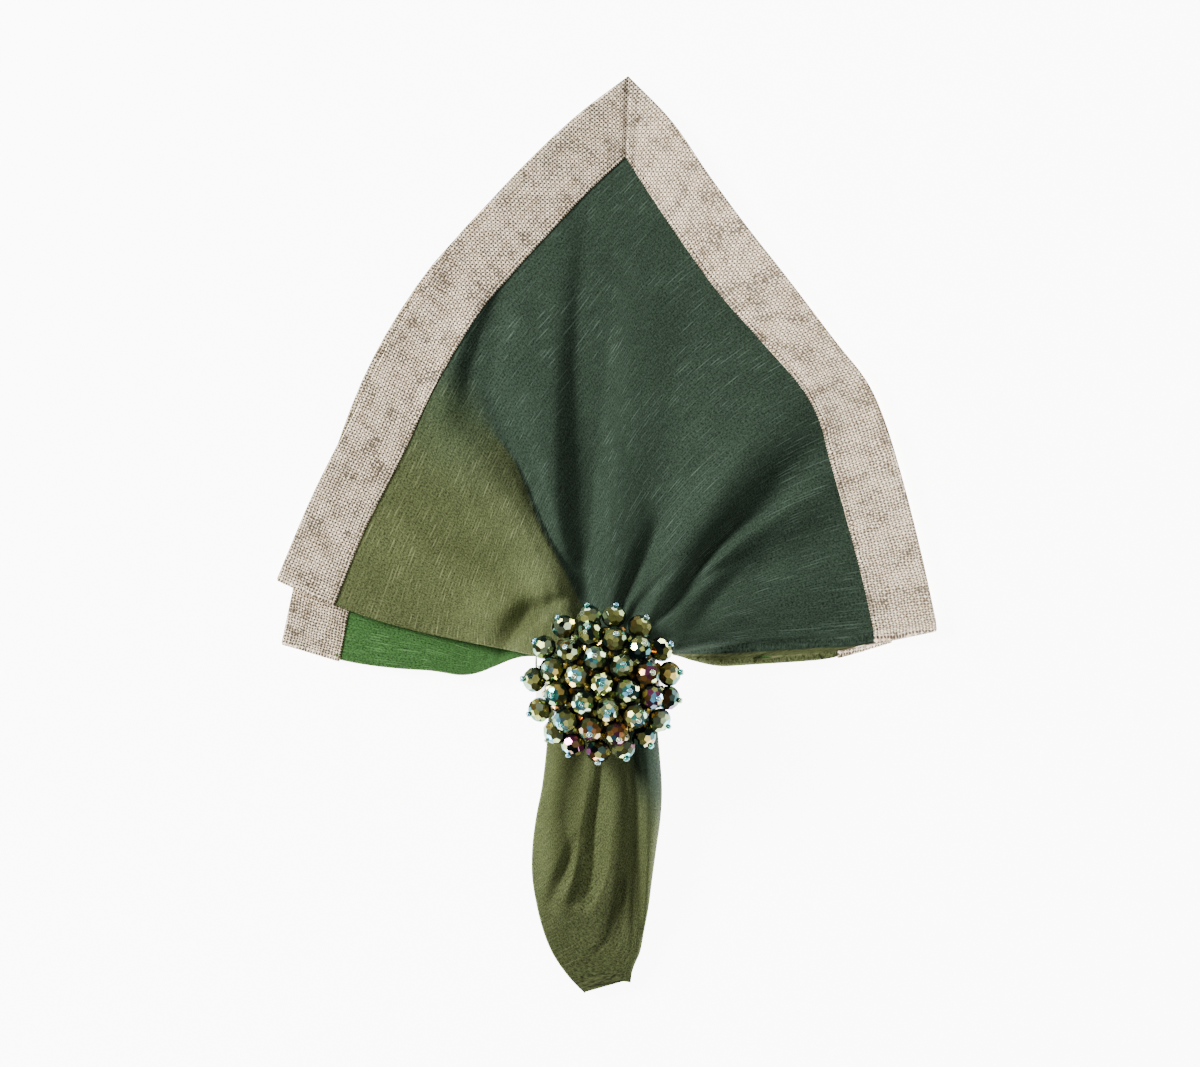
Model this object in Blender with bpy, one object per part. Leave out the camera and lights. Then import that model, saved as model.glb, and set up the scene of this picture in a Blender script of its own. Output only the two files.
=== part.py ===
"""A square napkin folded in quarters and drawn through a beaded napkin ring.

Metres, +Z up, lying on z = 0.  X runs to the right and Y towards the napkin's four free corners.
The cloth is one sheet: a green square with four mitred linen strips sewn to its edges.  It is
folded in half twice, so its middle is the tip of the tail and its corners meet at the top.

The cloth is worked out in three steps:
1. section   - the four layers and their turns, as one back-and-forth loop,
2. plan      - where a place of the flat quarter lies when seen from above,
3. height    - how high the folds lift every layer there.
"""
import math

import bmesh
import bpy
from mathutils import Vector

MM = 0.001

# --- the flat napkin ------------------------------------------------------------------------
NAPKIN_SIDE = 508.0                 # 20 inches
BORDER_WIDTH = 23.0
PANEL_SHARE = 1.0 - BORDER_WIDTH / (NAPKIN_SIDE / 2.0)   # of the way from the middle to the edge
SEAM_GAP = 0.3 / (NAPKIN_SIDE / 2.0)
MITRE_GAP = 0.0008                  # of the way along the quarter's two free edges

# --- the folded stack -----------------------------------------------------------------------
CLOTH = 1.1                         # thickness of the sheet
PITCH = 1.5                         # from one layer's middle to the next
PAIR_GAP = 1.3                      # more than that between the two pairs of layers
STACK = 3.0 * PITCH + PAIR_GAP
LAYER_STEPS = 20                    # divisions across one layer
TURN_STEPS = 4                      # divisions round one fold edge

# --- the ring -------------------------------------------------------------------------------
BAND_HALF_WIDTH = 6.5               # along Y
BAND_WALL = 1.5
BORE_HALF_X = 24.5
BORE_HALF_Z = 14.0
BORE_CORNER = 10.5
BAND_STEPS = 8                      # divisions round each corner of the band
BAND_MID_Z = BORE_HALF_Z + BAND_WALL
DOME_RADIUS = 22.0
DOME_RISE = 8.0
DOME_RIM = 1.6
DOME_SIDES = 40
DOME_STATIONS = [90.0, 76.0, 62.0, 48.0, 34.0, 20.0, 8.0]
BEAD_LENGTH = 9.4
BEAD_RADIUS = 4.25
BEAD_END_RADIUS = 1.5
BEAD_SHOULDER = 0.8                 # of its radius, half-way to each end
BEAD_SIDES = 8
SEAT_GAP = 0.3

# --- where the folded cloth lies, from the ring's middle, in millimetres ----------------------
NECK_Y = 9.5                        # where the cloth leaves the ring towards its corners
SIDE_PASS = 0.60                    # share of the flat quarter's edge that is in the tail
CORNER_PASS = 0.364                 # share of its diagonal that is in the tail
LEFT_FLARE = math.radians(12.0)     # how far the left edge dips as it leaves the ring
NECK_RISE = 0.16                    # how much of its first stretch the cloth still runs straight on
NECK_PULL = 0.8                     # how stiffly it leaves the ring
NECK_WIDTH = 43.0                   # from fold edge to fold edge in the ring
FREE_WIDTH = 480.0                  # and along the free edges

# share of the free edge from the side corner | outer edge x, y | inner edge of the border x, y
LEFT_EDGE = [
    (0.00, -128.4, 39.9, -105.6, 29.6),
    (0.15, -114.0, 73.8, -93.5, 59.4),
    (0.30, -97.4, 106.8, -78.9, 88.3),
    (0.45, -81.0, 139.8, -65.0, 117.4),
    (0.60, -60.8, 170.7, -48.3, 145.0),
    (0.70, -44.4, 189.1, -34.6, 161.4),
    (0.80, -27.4, 206.9, -20.0, 177.4),
    (0.90, -9.3, 223.7, -5.4, 193.0),
    (1.00, 10.3, 238.6, 9.3, 206.6),
]
RIGHT_EDGE = [
    (0.00, 132.3, 20.9, 107.6, 17.6),
    (0.12, 125.8, 50.8, 101.8, 43.2),
    (0.25, 117.6, 82.9, 94.5, 70.2),
    (0.34, 110.7, 104.8, 89.2, 89.0),
    (0.40, 104.2, 118.6, 85.8, 101.9),
    (0.47, 93.2, 132.6, 78.9, 115.1),
    (0.60, 73.1, 159.0, 60.6, 136.3),
    (0.70, 57.3, 179.1, 46.2, 152.7),
    (0.80, 42.2, 199.6, 33.4, 170.2),
    (0.90, 27.7, 220.6, 21.1, 188.3),
    (1.00, 10.3, 238.6, 9.3, 206.6),
]
# y | left side x, right side x
TAIL_SIDES = [
    (-122.8, -7.6, 11.9),
    (-118.1, -12.2, 12.6),
    (-112.2, -16.8, 14.0),
    (-106.3, -20.4, 15.8),
    (-98.4, -23.6, 17.2),
    (-88.5, -26.2, 19.0),
    (-76.6, -28.1, 20.5),
    (-64.8, -28.0, 22.1),
    (-52.9, -26.5, 23.7),
    (-41.1, -24.2, 24.1),
    (-25.3, -22.4, 22.9),
    (-8.0, -21.5, 21.5),
    (NECK_Y, -21.5, 21.5),
]
TAIL_TIP_Y = TAIL_SIDES[0][0]
TIP_SLANT = 5.5                     # how much shorter the tail is at its right
SLANT_REACH = 0.15                  # share of the tail over which that evens out

# ridges of the folds, from the ring outwards
# name | start, middle, end x, y | height at the start, end | half-width at the start, end
FOLDS = [
    ("olive_side", (-15.0, 2.0), (-52.0, 36.0), (-96.0, 60.0), 2.5, 3.0, 7.0, 24.0),
    ("olive_crest", (-11.5, 2.0), (-28.0, 58.0), (-64.0, 108.0), 5.0, 3.5, 6.5, 17.0),
    ("left_crest", (-7.5, 2.0), (-19.0, 70.0), (-24.0, 168.0), 5.0, 2.0, 5.5, 16.0),
    ("middle_crest", (-1.0, 2.0), (5.0, 70.0), (20.0, 184.0), 5.0, 2.0, 6.0, 28.0),
    ("right_crest", (6.0, 2.0), (26.0, 62.0), (72.0, 124.0), 5.5, 4.0, 6.0, 19.0),
    ("right_branch", (12.0, 2.0), (45.0, 51.0), (100.0, 92.0), 5.0, 3.0, 5.5, 12.0),
    ("low_right", (16.0, 2.0), (54.0, 28.0), (112.0, 44.0), 3.5, 2.5, 7.0, 20.0),
    ("tail_left", (-12.0, -2.0), (-19.0, -52.0), (-16.0, -104.0), 5.5, 3.0, 8.5, 12.0),
    ("tail_middle", (1.0, -2.0), (3.0, -45.0), (-4.0, -96.0), 6.0, 4.0, 7.5, 11.0),
    ("tail_right", (13.0, -2.0), (17.0, -50.0), (13.0, -108.0), 5.5, 2.5, 7.5, 7.0),
]
MOUND = 3.5                         # how much more the cloth is heaped up at the ring
MOUND_REACH = 130.0
FOLD_START = 12.0                   # length over which a fold rises from nothing
RISE_AT_START = 0.6                 # how much of that is done where its line begins
FOLD_FADE = 0.3                     # share of its length over which it dies away

# the lower pair of layers: how far it swings down at the left and how much shorter it is there,
# and how far across the napkin each of these reaches
LOWER_SWING = math.radians(10.7)
SWING_REACH = 0.5
SWING_START = 0.15
LOWER_DRAW = 0.052
DRAW_REACH = 0.7

# how far the lower pair of layers hangs out below the top pair along the side fold edges
# side | drop | across where it starts | from the ring's middle: begins, full, full until, ends
DROPS = [
    ("left", 1.2, 0.3, 22.0, 50.0, 104.0, 128.0),
    ("right", 4.2, 0.7, 18.0, 42.0, 112.0, 133.0),
]

# height of the bottom layer in the ring, and how far apart the layers stand
NECK_LIFT = 2.4
NECK_SIDE_LIFT = 4.0
NECK_HALF = 21.0
NECK_SPREAD = 2.18
TAIL_SPREAD = 1.5
FAN_REACH = 70.0
LIFT_REACH = 30.0
BAND_CLEAR = 22.0                   # how far from the ring's middle the cloth starts to come down

# stations along the cloth: shares of the tail, then shares of the way from ring to border
TAIL_STATIONS = [0.0, 0.06, 0.15, 0.27, 0.40, 0.54, 0.67, 0.79, 0.88, 0.94, 1.0]
FAN_STATIONS = [0.07, 0.15, 0.25, 0.36, 0.48, 0.60, 0.72, 0.85, 1.0]

# rings of beads: angle of the place on the dome | bearing of every bead, degrees
BEAD_RINGS = [
    (0.0, (0.0,)),
    (25.5, (42.0, 105.0, 164.0, 225.0, 282.0, 345.0)),
    (48.0, (12.5, 74.0, 135.0, 193.0, 256.0, 315.0)),
    (55.0, (43.5, 104.0, 164.0, 225.0, 287.0, 345.0)),
    (82.0, (8.0, 30.0, 56.0, 80.0, 101.0, 124.0, 148.0, 177.0,
            203.0, 226.0, 245.0, 267.0, 288.0, 308.0, 327.0, 347.5)),
]

# --- colours: name | red, green, blue | roughness | metallic ----------------------------------
COLOURS = {
    "green_cloth": ((0.055, 0.085, 0.055), 0.85, 0.0),
    "linen": ((0.60, 0.52, 0.42), 0.90, 0.0),
    "band_metal": ((0.45, 0.45, 0.46), 0.35, 1.0),
    "bead_glass": ((0.16, 0.26, 0.24), 0.12, 0.6),
}


def clear_scene():
    for item in list(bpy.data.objects):
        bpy.data.objects.remove(item, do_unlink=True)


def make_material(name):
    colour, roughness, metallic = COLOURS[name]
    material = bpy.data.materials.new(name)
    material.use_nodes = True
    shader = material.node_tree.nodes["Principled BSDF"]
    shader.inputs["Base Color"].default_value = (*colour, 1.0)
    shader.inputs["Roughness"].default_value = roughness
    shader.inputs["Metallic"].default_value = metallic
    return material


def make_object(name, points, faces, material):
    mesh = bpy.data.meshes.new(name)
    mesh.from_pydata([Vector(point) * MM for point in points], [], faces)
    work = bmesh.new()
    work.from_mesh(mesh)
    bmesh.ops.recalc_face_normals(work, faces=work.faces)
    work.to_mesh(mesh)
    work.free()
    mesh.materials.append(material)
    item = bpy.data.objects.new(name, mesh)
    bpy.context.scene.collection.objects.link(item)
    return item


def mix(low, high, share):
    return low + (high - low) * share


def ease(share):
    """0 below 0, 1 above 1, with a smooth step between."""
    share = min(max(share, 0.0), 1.0)
    return share * share * (3.0 - 2.0 * share)


def read_table(table, key, column):
    """A smooth curve through one column of a table, by its first column."""
    last = len(table) - 1
    row = 0
    while row < last - 1 and key > table[row + 1][0]:
        row += 1
    before = table[max(row - 1, 0)]
    low = table[row]
    high = table[row + 1]
    after = table[min(row + 2, last)]
    span = high[0] - low[0]
    share = (key - low[0]) / span
    slope_low = (high[column] - before[column]) / (high[0] - before[0])
    slope_high = (after[column] - low[column]) / (after[0] - low[0])
    square = share * share
    cube = square * share
    return ((2 * cube - 3 * square + 1) * low[column]
            + (cube - 2 * square + share) * slope_low * span
            + (3 * square - 2 * cube) * high[column]
            + (cube - square) * slope_high * span)


# --- plan: across runs from the left fold edge 0 to the right 1, out from the middle 0 to 1 -----
def free_edge(across, column):
    """A point of the outer edge (column 1) or of the border's inner edge (column 3)."""
    if across <= 0.5:
        table = LEFT_EDGE
        share = 2.0 * across
    else:
        table = RIGHT_EDGE
        share = 2.0 * (1.0 - across)
    return Vector((read_table(table, share, column), read_table(table, share, column + 1)))


def neck_share(across):
    """How much of the line from the middle outwards is in the tail."""
    towards_corner = 1.0 - abs(2.0 * across - 1.0)
    return mix(SIDE_PASS, CORNER_PASS, towards_corner)


def tail_plan(across, share):
    y = mix(TAIL_TIP_Y, NECK_Y, share)
    left = read_table(TAIL_SIDES, y, 1)
    right = read_table(TAIL_SIDES, y, 2)
    slant = TIP_SLANT * across * ease(1.0 - share / SLANT_REACH)
    return Vector((mix(left, right, across), y + slant))


def fan_plan(across, out):
    start = tail_plan(across, 1.0)
    inner = free_edge(across, 3)
    outer = free_edge(across, 1)
    begin = neck_share(across)
    if out > PANEL_SHARE:
        return inner.lerp(outer, (out - PANEL_SHARE) / (1.0 - PANEL_SHARE))
    share = (out - begin) / (PANEL_SHARE - begin)
    reach = inner - start
    bearing = math.atan2(reach.y, reach.x) + LEFT_FLARE * max(1.0 - 2.0 * across, 0.0)
    leave = Vector((math.cos(bearing), math.sin(bearing) + NECK_RISE)) * reach.length * NECK_PULL
    arrive = (outer - inner) * (PANEL_SHARE - begin) / (1.0 - PANEL_SHARE)
    square = share * share
    cube = square * share
    return (start * (2 * cube - 3 * square + 1) + leave * (cube - 2 * square + share)
            + inner * (3 * square - 2 * cube) + arrive * (cube - square))


def plan(across, out):
    begin = neck_share(across)
    if out <= begin:
        return tail_plan(across, out / begin)
    return fan_plan(across, out)


def side_drop(across, from_ring):
    """How far the lower layers hang out at one place of a side fold edge."""
    total = 0.0
    for side, drop, begin_across, begin, full, until, end in DROPS:
        if side == "left":
            near_edge = ease((begin_across - across) / begin_across)
            on_side = across < 0.5
        else:
            near_edge = ease((across - begin_across) / (1.0 - begin_across))
            on_side = across > 0.5
        if on_side:
            window = ease((from_ring - begin) / (full - begin)) * ease((end - from_ring) / (end - until))
            total += drop * near_edge * window
    return total


def swung_plan(across, out, depth):
    """The plan with the lower layers swung down at the left; depth is 0 at the top layer."""
    point = plan(across, out)
    in_fan = ease((out - neck_share(across)) / SWING_START)
    lower = ease(depth) * in_fan
    angle = LOWER_SWING * lower * ease(1.0 - across / SWING_REACH)
    shorter = LOWER_DRAW * lower * ease(1.0 - across / DRAW_REACH)
    turned_x = point.x * math.cos(angle) - point.y * math.sin(angle)
    turned_y = point.x * math.sin(angle) + point.y * math.cos(angle)
    drop = lower * side_drop(across, abs(point.x))
    return Vector((turned_x, turned_y)) * (1.0 - shorter) - Vector((0.0, drop))


def outward(across, out, depth):
    """Unit vector out of the nearer fold edge."""
    step = 0.02
    edge = 0.0 if across < 0.5 else 1.0
    low = swung_plan(edge, max(out - step, 0.0), depth)
    high = swung_plan(edge, min(out + step, 1.0), depth)
    along = (high - low).normalized()
    if edge == 0.0:
        return Vector((-along.y, along.x))
    return Vector((along.y, -along.x))


def width_across(across, out):
    """Rough width of the cloth from fold edge to fold edge."""
    begin = neck_share(across)
    if out <= begin:
        y = mix(TAIL_TIP_Y, NECK_Y, out / begin)
        return read_table(TAIL_SIDES, y, 2) - read_table(TAIL_SIDES, y, 1)
    return mix(NECK_WIDTH, FREE_WIDTH, (out - begin) / (1.0 - begin))


# --- height -----------------------------------------------------------------------------------
def fold_height(x, y):
    """How far the ridges of the folds lift the cloth, and the mound that they stand on."""
    far = min(math.hypot(x, y) / MOUND_REACH, 1.0)
    total = MOUND * (1.0 - far * far) ** 2
    for _name, start, middle, end, high0, high1, wide0, wide1 in FOLDS:
        best = 0.0
        legs = ((start, middle, 0.0), (middle, end, 0.5))
        for (x0, y0), (x1, y1), done in legs:
            length = math.hypot(x1 - x0, y1 - y0)
            along_x = (x1 - x0) / length
            along_y = (y1 - y0) / length
            reach = (x - x0) * along_x + (y - y0) * along_y
            on_leg = min(max(reach, -FOLD_START if done == 0.0 else 0.0), length)
            share = done + 0.5 * on_leg / length
            aside = math.hypot(x - x0 - on_leg * along_x, y - y0 - on_leg * along_y)
            wide = mix(wide0, wide1, max(share, 0.0))
            if aside < wide:
                start_rise = ease(on_leg / FOLD_START + RISE_AT_START) if done == 0.0 else 1.0
                ends = start_rise * ease((1.0 - share) / FOLD_FADE)
                high = mix(high0, high1, max(share, 0.0))
                best = max(best, high * ends * (1.0 - (aside / wide) ** 2) ** 2)
        total += best
    return total


def spread(x, y):
    """How many times further apart than at rest the layers stand."""
    if y > NECK_Y:
        return mix(1.0, NECK_SPREAD, ease(1.0 - (math.hypot(x, y) - NECK_Y) / FAN_REACH))
    along_tail = ease((y - TAIL_TIP_Y) / (NECK_Y - TAIL_TIP_Y))
    return mix(TAIL_SPREAD, NECK_SPREAD, along_tail)


def lift(x, y):
    """How high the ring carries the bottom layer."""
    beyond = math.hypot(x, y) - BAND_CLEAR if y > 0.0 else -y - BAND_HALF_WIDTH
    near = ease(1.0 - beyond / LIFT_REACH)
    return near * (NECK_LIFT + NECK_SIDE_LIFT * min(abs(x) / NECK_HALF, 1.1) ** 4)


# --- section: the loop of four layers ---------------------------------------------------------
# a section point: across, bulge, height, normal out, normal up, depth in the stack
RIGHT_SIDE_UP = (1.0, -1.0, 1.0, -1.0)      # which way the cloth's right side faces, top layer first


def layer_height(layer):
    return (STACK, STACK - PITCH, PITCH, 0.0)[layer]


def layer_run(layer, start, end):
    """Section points along one layer, from one place across to another."""
    steps = round(abs(end - start) * LAYER_STEPS)
    face = RIGHT_SIDE_UP[layer]
    return [(mix(start, end, step / steps), 0.0, layer_height(layer), 0.0, face, layer - 1.0)
            for step in range(steps + 1)]


def turn_run(edge, start_layer, end_layer):
    """Section points round the fold edge that joins two layers, without its two ends."""
    middle = (layer_height(start_layer) + layer_height(end_layer)) / 2.0
    radius = (layer_height(start_layer) - layer_height(end_layer)) / 2.0
    upper_layer = min(start_layer, end_layer)
    face = RIGHT_SIDE_UP[upper_layer]
    points = []
    for step in range(1, TURN_STEPS):
        angle = math.pi * step / TURN_STEPS
        depth = mix(start_layer, end_layer, step / TURN_STEPS) - 1.0
        points.append((edge, abs(radius) * math.sin(angle), middle + radius * math.cos(angle),
                       face * math.sin(angle),
                       face * math.copysign(1.0, radius) * math.cos(angle), depth))
    return points


def section():
    """The whole loop: top layer, round the right to the lowest, and back up between them."""
    return (layer_run(0, 0.0, 1.0) + turn_run(1.0, 0, 3)
            + layer_run(3, 1.0, 0.0) + turn_run(0.0, 3, 2)
            + layer_run(2, 0.0, 1.0) + turn_run(1.0, 2, 1)
            + layer_run(1, 1.0, 0.0) + turn_run(0.0, 1, 0))


def strip_section(start_layer, end_layer, edge):
    """The part of the loop that one linen strip follows, from mitre to mitre."""
    mitre = 0.5 + math.copysign(MITRE_GAP, edge - 0.5)
    path = (layer_run(start_layer, 0.5, edge) + turn_run(edge, start_layer, end_layer)
            + layer_run(end_layer, edge, 0.5))
    path[0] = (mitre, *path[0][1:])
    path[-1] = (mitre, *path[-1][1:])
    return path


def place(loop_point, out, side):
    """A point of the cloth's right side (side 1) or wrong side (side -1)."""
    across, bulge, height, normal_out, normal_up, depth = loop_point
    widest = 0.5 * STACK if across >= 0.5 else 0.5 * PITCH
    inset = (widest + CLOTH / 2.0) / width_across(across, out)
    if across < 0.5:
        inner_across = mix(inset, 0.5, across / 0.5)
    else:
        inner_across = mix(0.5, 1.0 - inset, (across - 0.5) / 0.5)
    point = swung_plan(inner_across, out, depth)
    if bulge > 0.0:
        turned = bulge + side * normal_out * CLOTH / 2.0
        point = point + outward(across, out, depth) * turned
    up = height * spread(point.x, point.y) + (1.0 + side * normal_up) * CLOTH / 2.0
    base = lift(point.x, point.y) + fold_height(point.x, point.y)
    return (point.x, point.y, base + up)


def station_out(across, station):
    """The share of the flat line at a station: a tail share, or 1 plus a fan share."""
    begin = neck_share(across)
    if station <= 1.0:
        return begin * station
    return mix(begin, PANEL_SHARE, station - 1.0)


# --- the cloth pieces -------------------------------------------------------------------------
def halves(corners, first, second):
    """A facet cut in two, the same way seen from above in every layer, so layers never touch.

    The corners run from section point first to second and back along the next station.
    """
    low_first, low_second, high_second, high_first = corners
    level = second[0] == first[0]
    if second[0] > first[0] or (level and second[2] < first[2]):
        return [(low_first, low_second, high_second), (low_first, high_second, high_first)]
    return [(low_first, low_second, high_first), (low_second, high_second, high_first)]


def make_panel(material):
    """The green square: one sheet in four layers, closed at the napkin's middle."""
    loop = section()
    count = len(loop)
    stations = TAIL_STATIONS + [1.0 + share for share in FAN_STATIONS]
    points = []
    for side in (1.0, -1.0):
        for row, station in enumerate(stations):
            if side < 0.0 and row == 0:
                station = TAIL_STATIONS[1] * 0.5
            for item in loop:
                points.append(place(item, station_out(item[0], station), side))
    rows = len(stations)
    wrong = rows * count
    faces = []
    for row in range(rows - 1):
        for index in range(count):
            after = (index + 1) % count
            low = row * count
            high = low + count
            right_side = (low + index, low + after, high + after, high + index)
            wrong_side = tuple(wrong + corner for corner in right_side)
            faces.extend(halves(right_side, loop[index], loop[after]))
            faces.extend(halves(wrong_side, loop[index], loop[after]))
    last = (rows - 1) * count
    for index in range(count):
        after = (index + 1) % count
        faces.append((last + index, last + after, wrong + last + after, wrong + last + index))
    for start in (0, wrong):
        faces.extend(cap_faces(start))
    return make_object("green_cloth", points, faces, material)


def cap_faces(start):
    """Close the loop at the napkin's middle: the outer path is joined to the inner path."""
    layer = LAYER_STEPS + 1
    turn = TURN_STEPS - 1
    outer = list(range(0, layer + turn + layer))
    first_inner = layer + turn + layer + turn
    inner = list(range(first_inner, first_inner + layer + turn + layer))
    inner.reverse()
    left_low = list(range(layer + turn + layer, first_inner))
    left_top = list(range(first_inner + layer + turn + layer, first_inner + 2 * (layer + turn)))
    faces = []
    for index in range(len(outer) - 1):
        faces.append((start + outer[index], start + outer[index + 1],
                      start + inner[index + 1], start + inner[index]))
    low_ring = [outer[-1]] + left_low + [inner[-1]]
    top_ring = [inner[0]] + left_top + [outer[0]]
    faces.append(tuple(start + index for index in low_ring))
    faces.append(tuple(start + index for index in top_ring))
    return faces


def make_strip(name, start_layer, end_layer, edge, material):
    """One linen strip: it lies past the green square's edge and folds in half with it."""
    path = strip_section(start_layer, end_layer, edge)
    outs = [PANEL_SHARE + SEAM_GAP, mix(PANEL_SHARE, 1.0, 0.5), 1.0]
    points = []
    for side in (1.0, -1.0):
        for out in outs:
            for item in path:
                points.append(place(item, out, side))
    count = len(path)
    rows = len(outs)
    wrong = rows * count
    faces = []
    for row in range(rows - 1):
        for index in range(count - 1):
            low = row * count + index
            high = low + count
            right_side = (low, low + 1, high + 1, high)
            wrong_side = tuple(wrong + corner for corner in right_side)
            faces.extend(halves(right_side, path[index], path[index + 1]))
            faces.extend(halves(wrong_side, path[index], path[index + 1]))
        for index in (0, count - 1):
            low = row * count + index
            high = low + count
            faces.append((low, high, wrong + high, wrong + low))
    for row in (0, rows - 1):
        for index in range(count - 1):
            low = row * count + index
            faces.append((low, low + 1, wrong + low + 1, wrong + low))
    return make_object(name, points, faces, material)


# --- the ring ---------------------------------------------------------------------------------
def rounded_outline(grow):
    """The bore's outline in X and Z, grown outwards."""
    flat_x = BORE_HALF_X - BORE_CORNER
    flat_z = BORE_HALF_Z - BORE_CORNER
    radius = BORE_CORNER + grow
    outline = []
    for corner in range(4):
        side_x = 1.0 if corner in (0, 3) else -1.0
        side_z = 1.0 if corner in (0, 1) else -1.0
        for step in range(BAND_STEPS + 1):
            angle = math.radians(90.0) * (corner + step / BAND_STEPS)
            outline.append((side_x * flat_x + radius * math.cos(angle),
                            side_z * flat_z + radius * math.sin(angle) + BAND_MID_Z))
    return outline


def make_band(material):
    inner = rounded_outline(0.0)
    outer = rounded_outline(BAND_WALL)
    count = len(inner)
    points = []
    for outline in (inner, outer):
        for y in (-BAND_HALF_WIDTH, BAND_HALF_WIDTH):
            points.extend((x, y, z) for x, z in outline)
    faces = []
    for index in range(count):
        after = (index + 1) % count
        for low, high in ((0, 1), (1, 3), (3, 2), (2, 0)):
            faces.append((low * count + index, low * count + after,
                          high * count + after, high * count + index))
    return make_object("ring_band", points, faces, material)


def dome_foot():
    return BAND_MID_Z + BORE_HALF_Z + BAND_WALL + SEAT_GAP


def lathe(profile, sides):
    """A closed spun shape from (radius, height) pairs whose ends lie on the axis."""
    points = [(0.0, 0.0, profile[0][1])]
    for radius, height in profile[1:-1]:
        for step in range(sides):
            angle = 2.0 * math.pi * step / sides
            points.append((radius * math.cos(angle), radius * math.sin(angle), height))
    points.append((0.0, 0.0, profile[-1][1]))
    faces = []
    rings = len(profile) - 2
    top = len(points) - 1
    for step in range(sides):
        after = (step + 1) % sides
        faces.append((0, 1 + after, 1 + step))
        for ring in range(rings - 1):
            low = 1 + ring * sides
            faces.append((low + step, low + after, low + sides + after, low + sides + step))
        last = 1 + (rings - 1) * sides
        faces.append((last + step, last + after, top))
    return points, faces


def make_dome(material):
    """The shallow dome that the bead stems stand on, flat below."""
    foot = dome_foot()
    profile = [(0.0, foot), (DOME_RADIUS, foot)]
    for angle in DOME_STATIONS:
        radians = math.radians(angle)
        profile.append((DOME_RADIUS * math.sin(radians),
                        foot + DOME_RIM + DOME_RISE * math.cos(radians)))
    profile.append((0.0, foot + DOME_RIM + DOME_RISE))
    points, faces = lathe(profile, DOME_SIDES)
    return make_object("ring_dome", points, faces, material)


def bead_seats():
    """Seat point on the dome and the outward direction there, for every bead."""
    seats = []
    for angle, bearings in BEAD_RINGS:
        for bearing in map(math.radians, bearings):
            place_angle = math.radians(angle)
            around = Vector((math.cos(bearing), math.sin(bearing)))
            seat = Vector((around.x * DOME_RADIUS * math.sin(place_angle),
                           around.y * DOME_RADIUS * math.sin(place_angle),
                           dome_foot() + DOME_RIM + DOME_RISE * math.cos(place_angle)))
            tilt = math.atan2(math.sin(place_angle) / DOME_RADIUS,
                              math.cos(place_angle) / DOME_RISE)
            normal = Vector((around.x * math.sin(tilt), around.y * math.sin(tilt),
                             math.cos(tilt)))
            seats.append((seat, normal))
    return seats


def make_bead(number, seat, normal, material):
    """One faceted bead, standing on the dome along its stem."""
    half = BEAD_LENGTH / 2.0
    profile = [
        (0.0, -half),
        (BEAD_END_RADIUS, -half),
        (BEAD_RADIUS * BEAD_SHOULDER, -half * 0.5),
        (BEAD_RADIUS, 0.0),
        (BEAD_RADIUS * BEAD_SHOULDER, half * 0.5),
        (BEAD_END_RADIUS, half),
        (0.0, half),
    ]
    points, faces = lathe(profile, BEAD_SIDES)
    turn = normal.to_track_quat("Z", "Y")
    centre = seat + normal * (half + SEAT_GAP)
    placed = [centre + turn @ Vector(point) for point in points]
    return make_object(f"bead_{number:02d}", placed, faces, material)


def centre_on_floor():
    """Move everything so that the bounding box stands centred on the origin."""
    meshes = [item for item in bpy.data.objects if item.type == "MESH"]
    corners = [vertex.co for item in meshes for vertex in item.data.vertices]
    low = Vector([min(corner[axis] for corner in corners) for axis in range(3)])
    high = Vector([max(corner[axis] for corner in corners) for axis in range(3)])
    shift = Vector(((low.x + high.x) / 2.0, (low.y + high.y) / 2.0, low.z))
    for item in meshes:
        for vertex in item.data.vertices:
            vertex.co -= shift


def build():
    clear_scene()
    green = make_material("green_cloth")
    linen = make_material("linen")
    metal = make_material("band_metal")
    glass = make_material("bead_glass")
    make_panel(green)
    make_strip("linen_top_left", 0, 1, 0.0, linen)
    make_strip("linen_top_right", 0, 3, 1.0, linen)
    make_strip("linen_low_left", 2, 3, 0.0, linen)
    make_strip("linen_low_right", 1, 2, 1.0, linen)
    make_band(metal)
    make_dome(metal)
    for number, (seat, normal) in enumerate(bead_seats(), start=1):
        make_bead(number, seat, normal, glass)
    centre_on_floor()


build()
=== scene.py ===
import itertools
import math
import random

import bmesh
import bpy
import numpy as np
from mathutils import Matrix, Vector


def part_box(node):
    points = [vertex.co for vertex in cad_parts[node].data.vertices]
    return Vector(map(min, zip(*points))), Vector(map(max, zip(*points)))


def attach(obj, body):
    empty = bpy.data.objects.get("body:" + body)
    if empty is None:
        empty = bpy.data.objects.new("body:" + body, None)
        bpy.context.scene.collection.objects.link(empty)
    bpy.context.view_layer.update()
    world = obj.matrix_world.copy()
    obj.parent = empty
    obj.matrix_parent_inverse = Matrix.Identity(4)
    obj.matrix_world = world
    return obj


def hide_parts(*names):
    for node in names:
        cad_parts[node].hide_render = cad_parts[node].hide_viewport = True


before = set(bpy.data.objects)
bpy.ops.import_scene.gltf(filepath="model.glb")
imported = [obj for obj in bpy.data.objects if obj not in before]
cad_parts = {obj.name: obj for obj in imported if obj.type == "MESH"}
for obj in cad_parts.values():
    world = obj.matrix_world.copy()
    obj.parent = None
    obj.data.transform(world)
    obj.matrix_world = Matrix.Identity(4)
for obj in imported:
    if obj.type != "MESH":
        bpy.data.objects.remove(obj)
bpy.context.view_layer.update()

MM = 0.001

# The cloth is worked out in millimetres from the ring's middle, as the solids are.
BAND_LOW, BAND_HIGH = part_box("ring_band")
RING = (BAND_LOW + BAND_HIGH) / 2.0
RING_X = RING.x / MM
RING_Y = RING.y / MM

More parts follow.
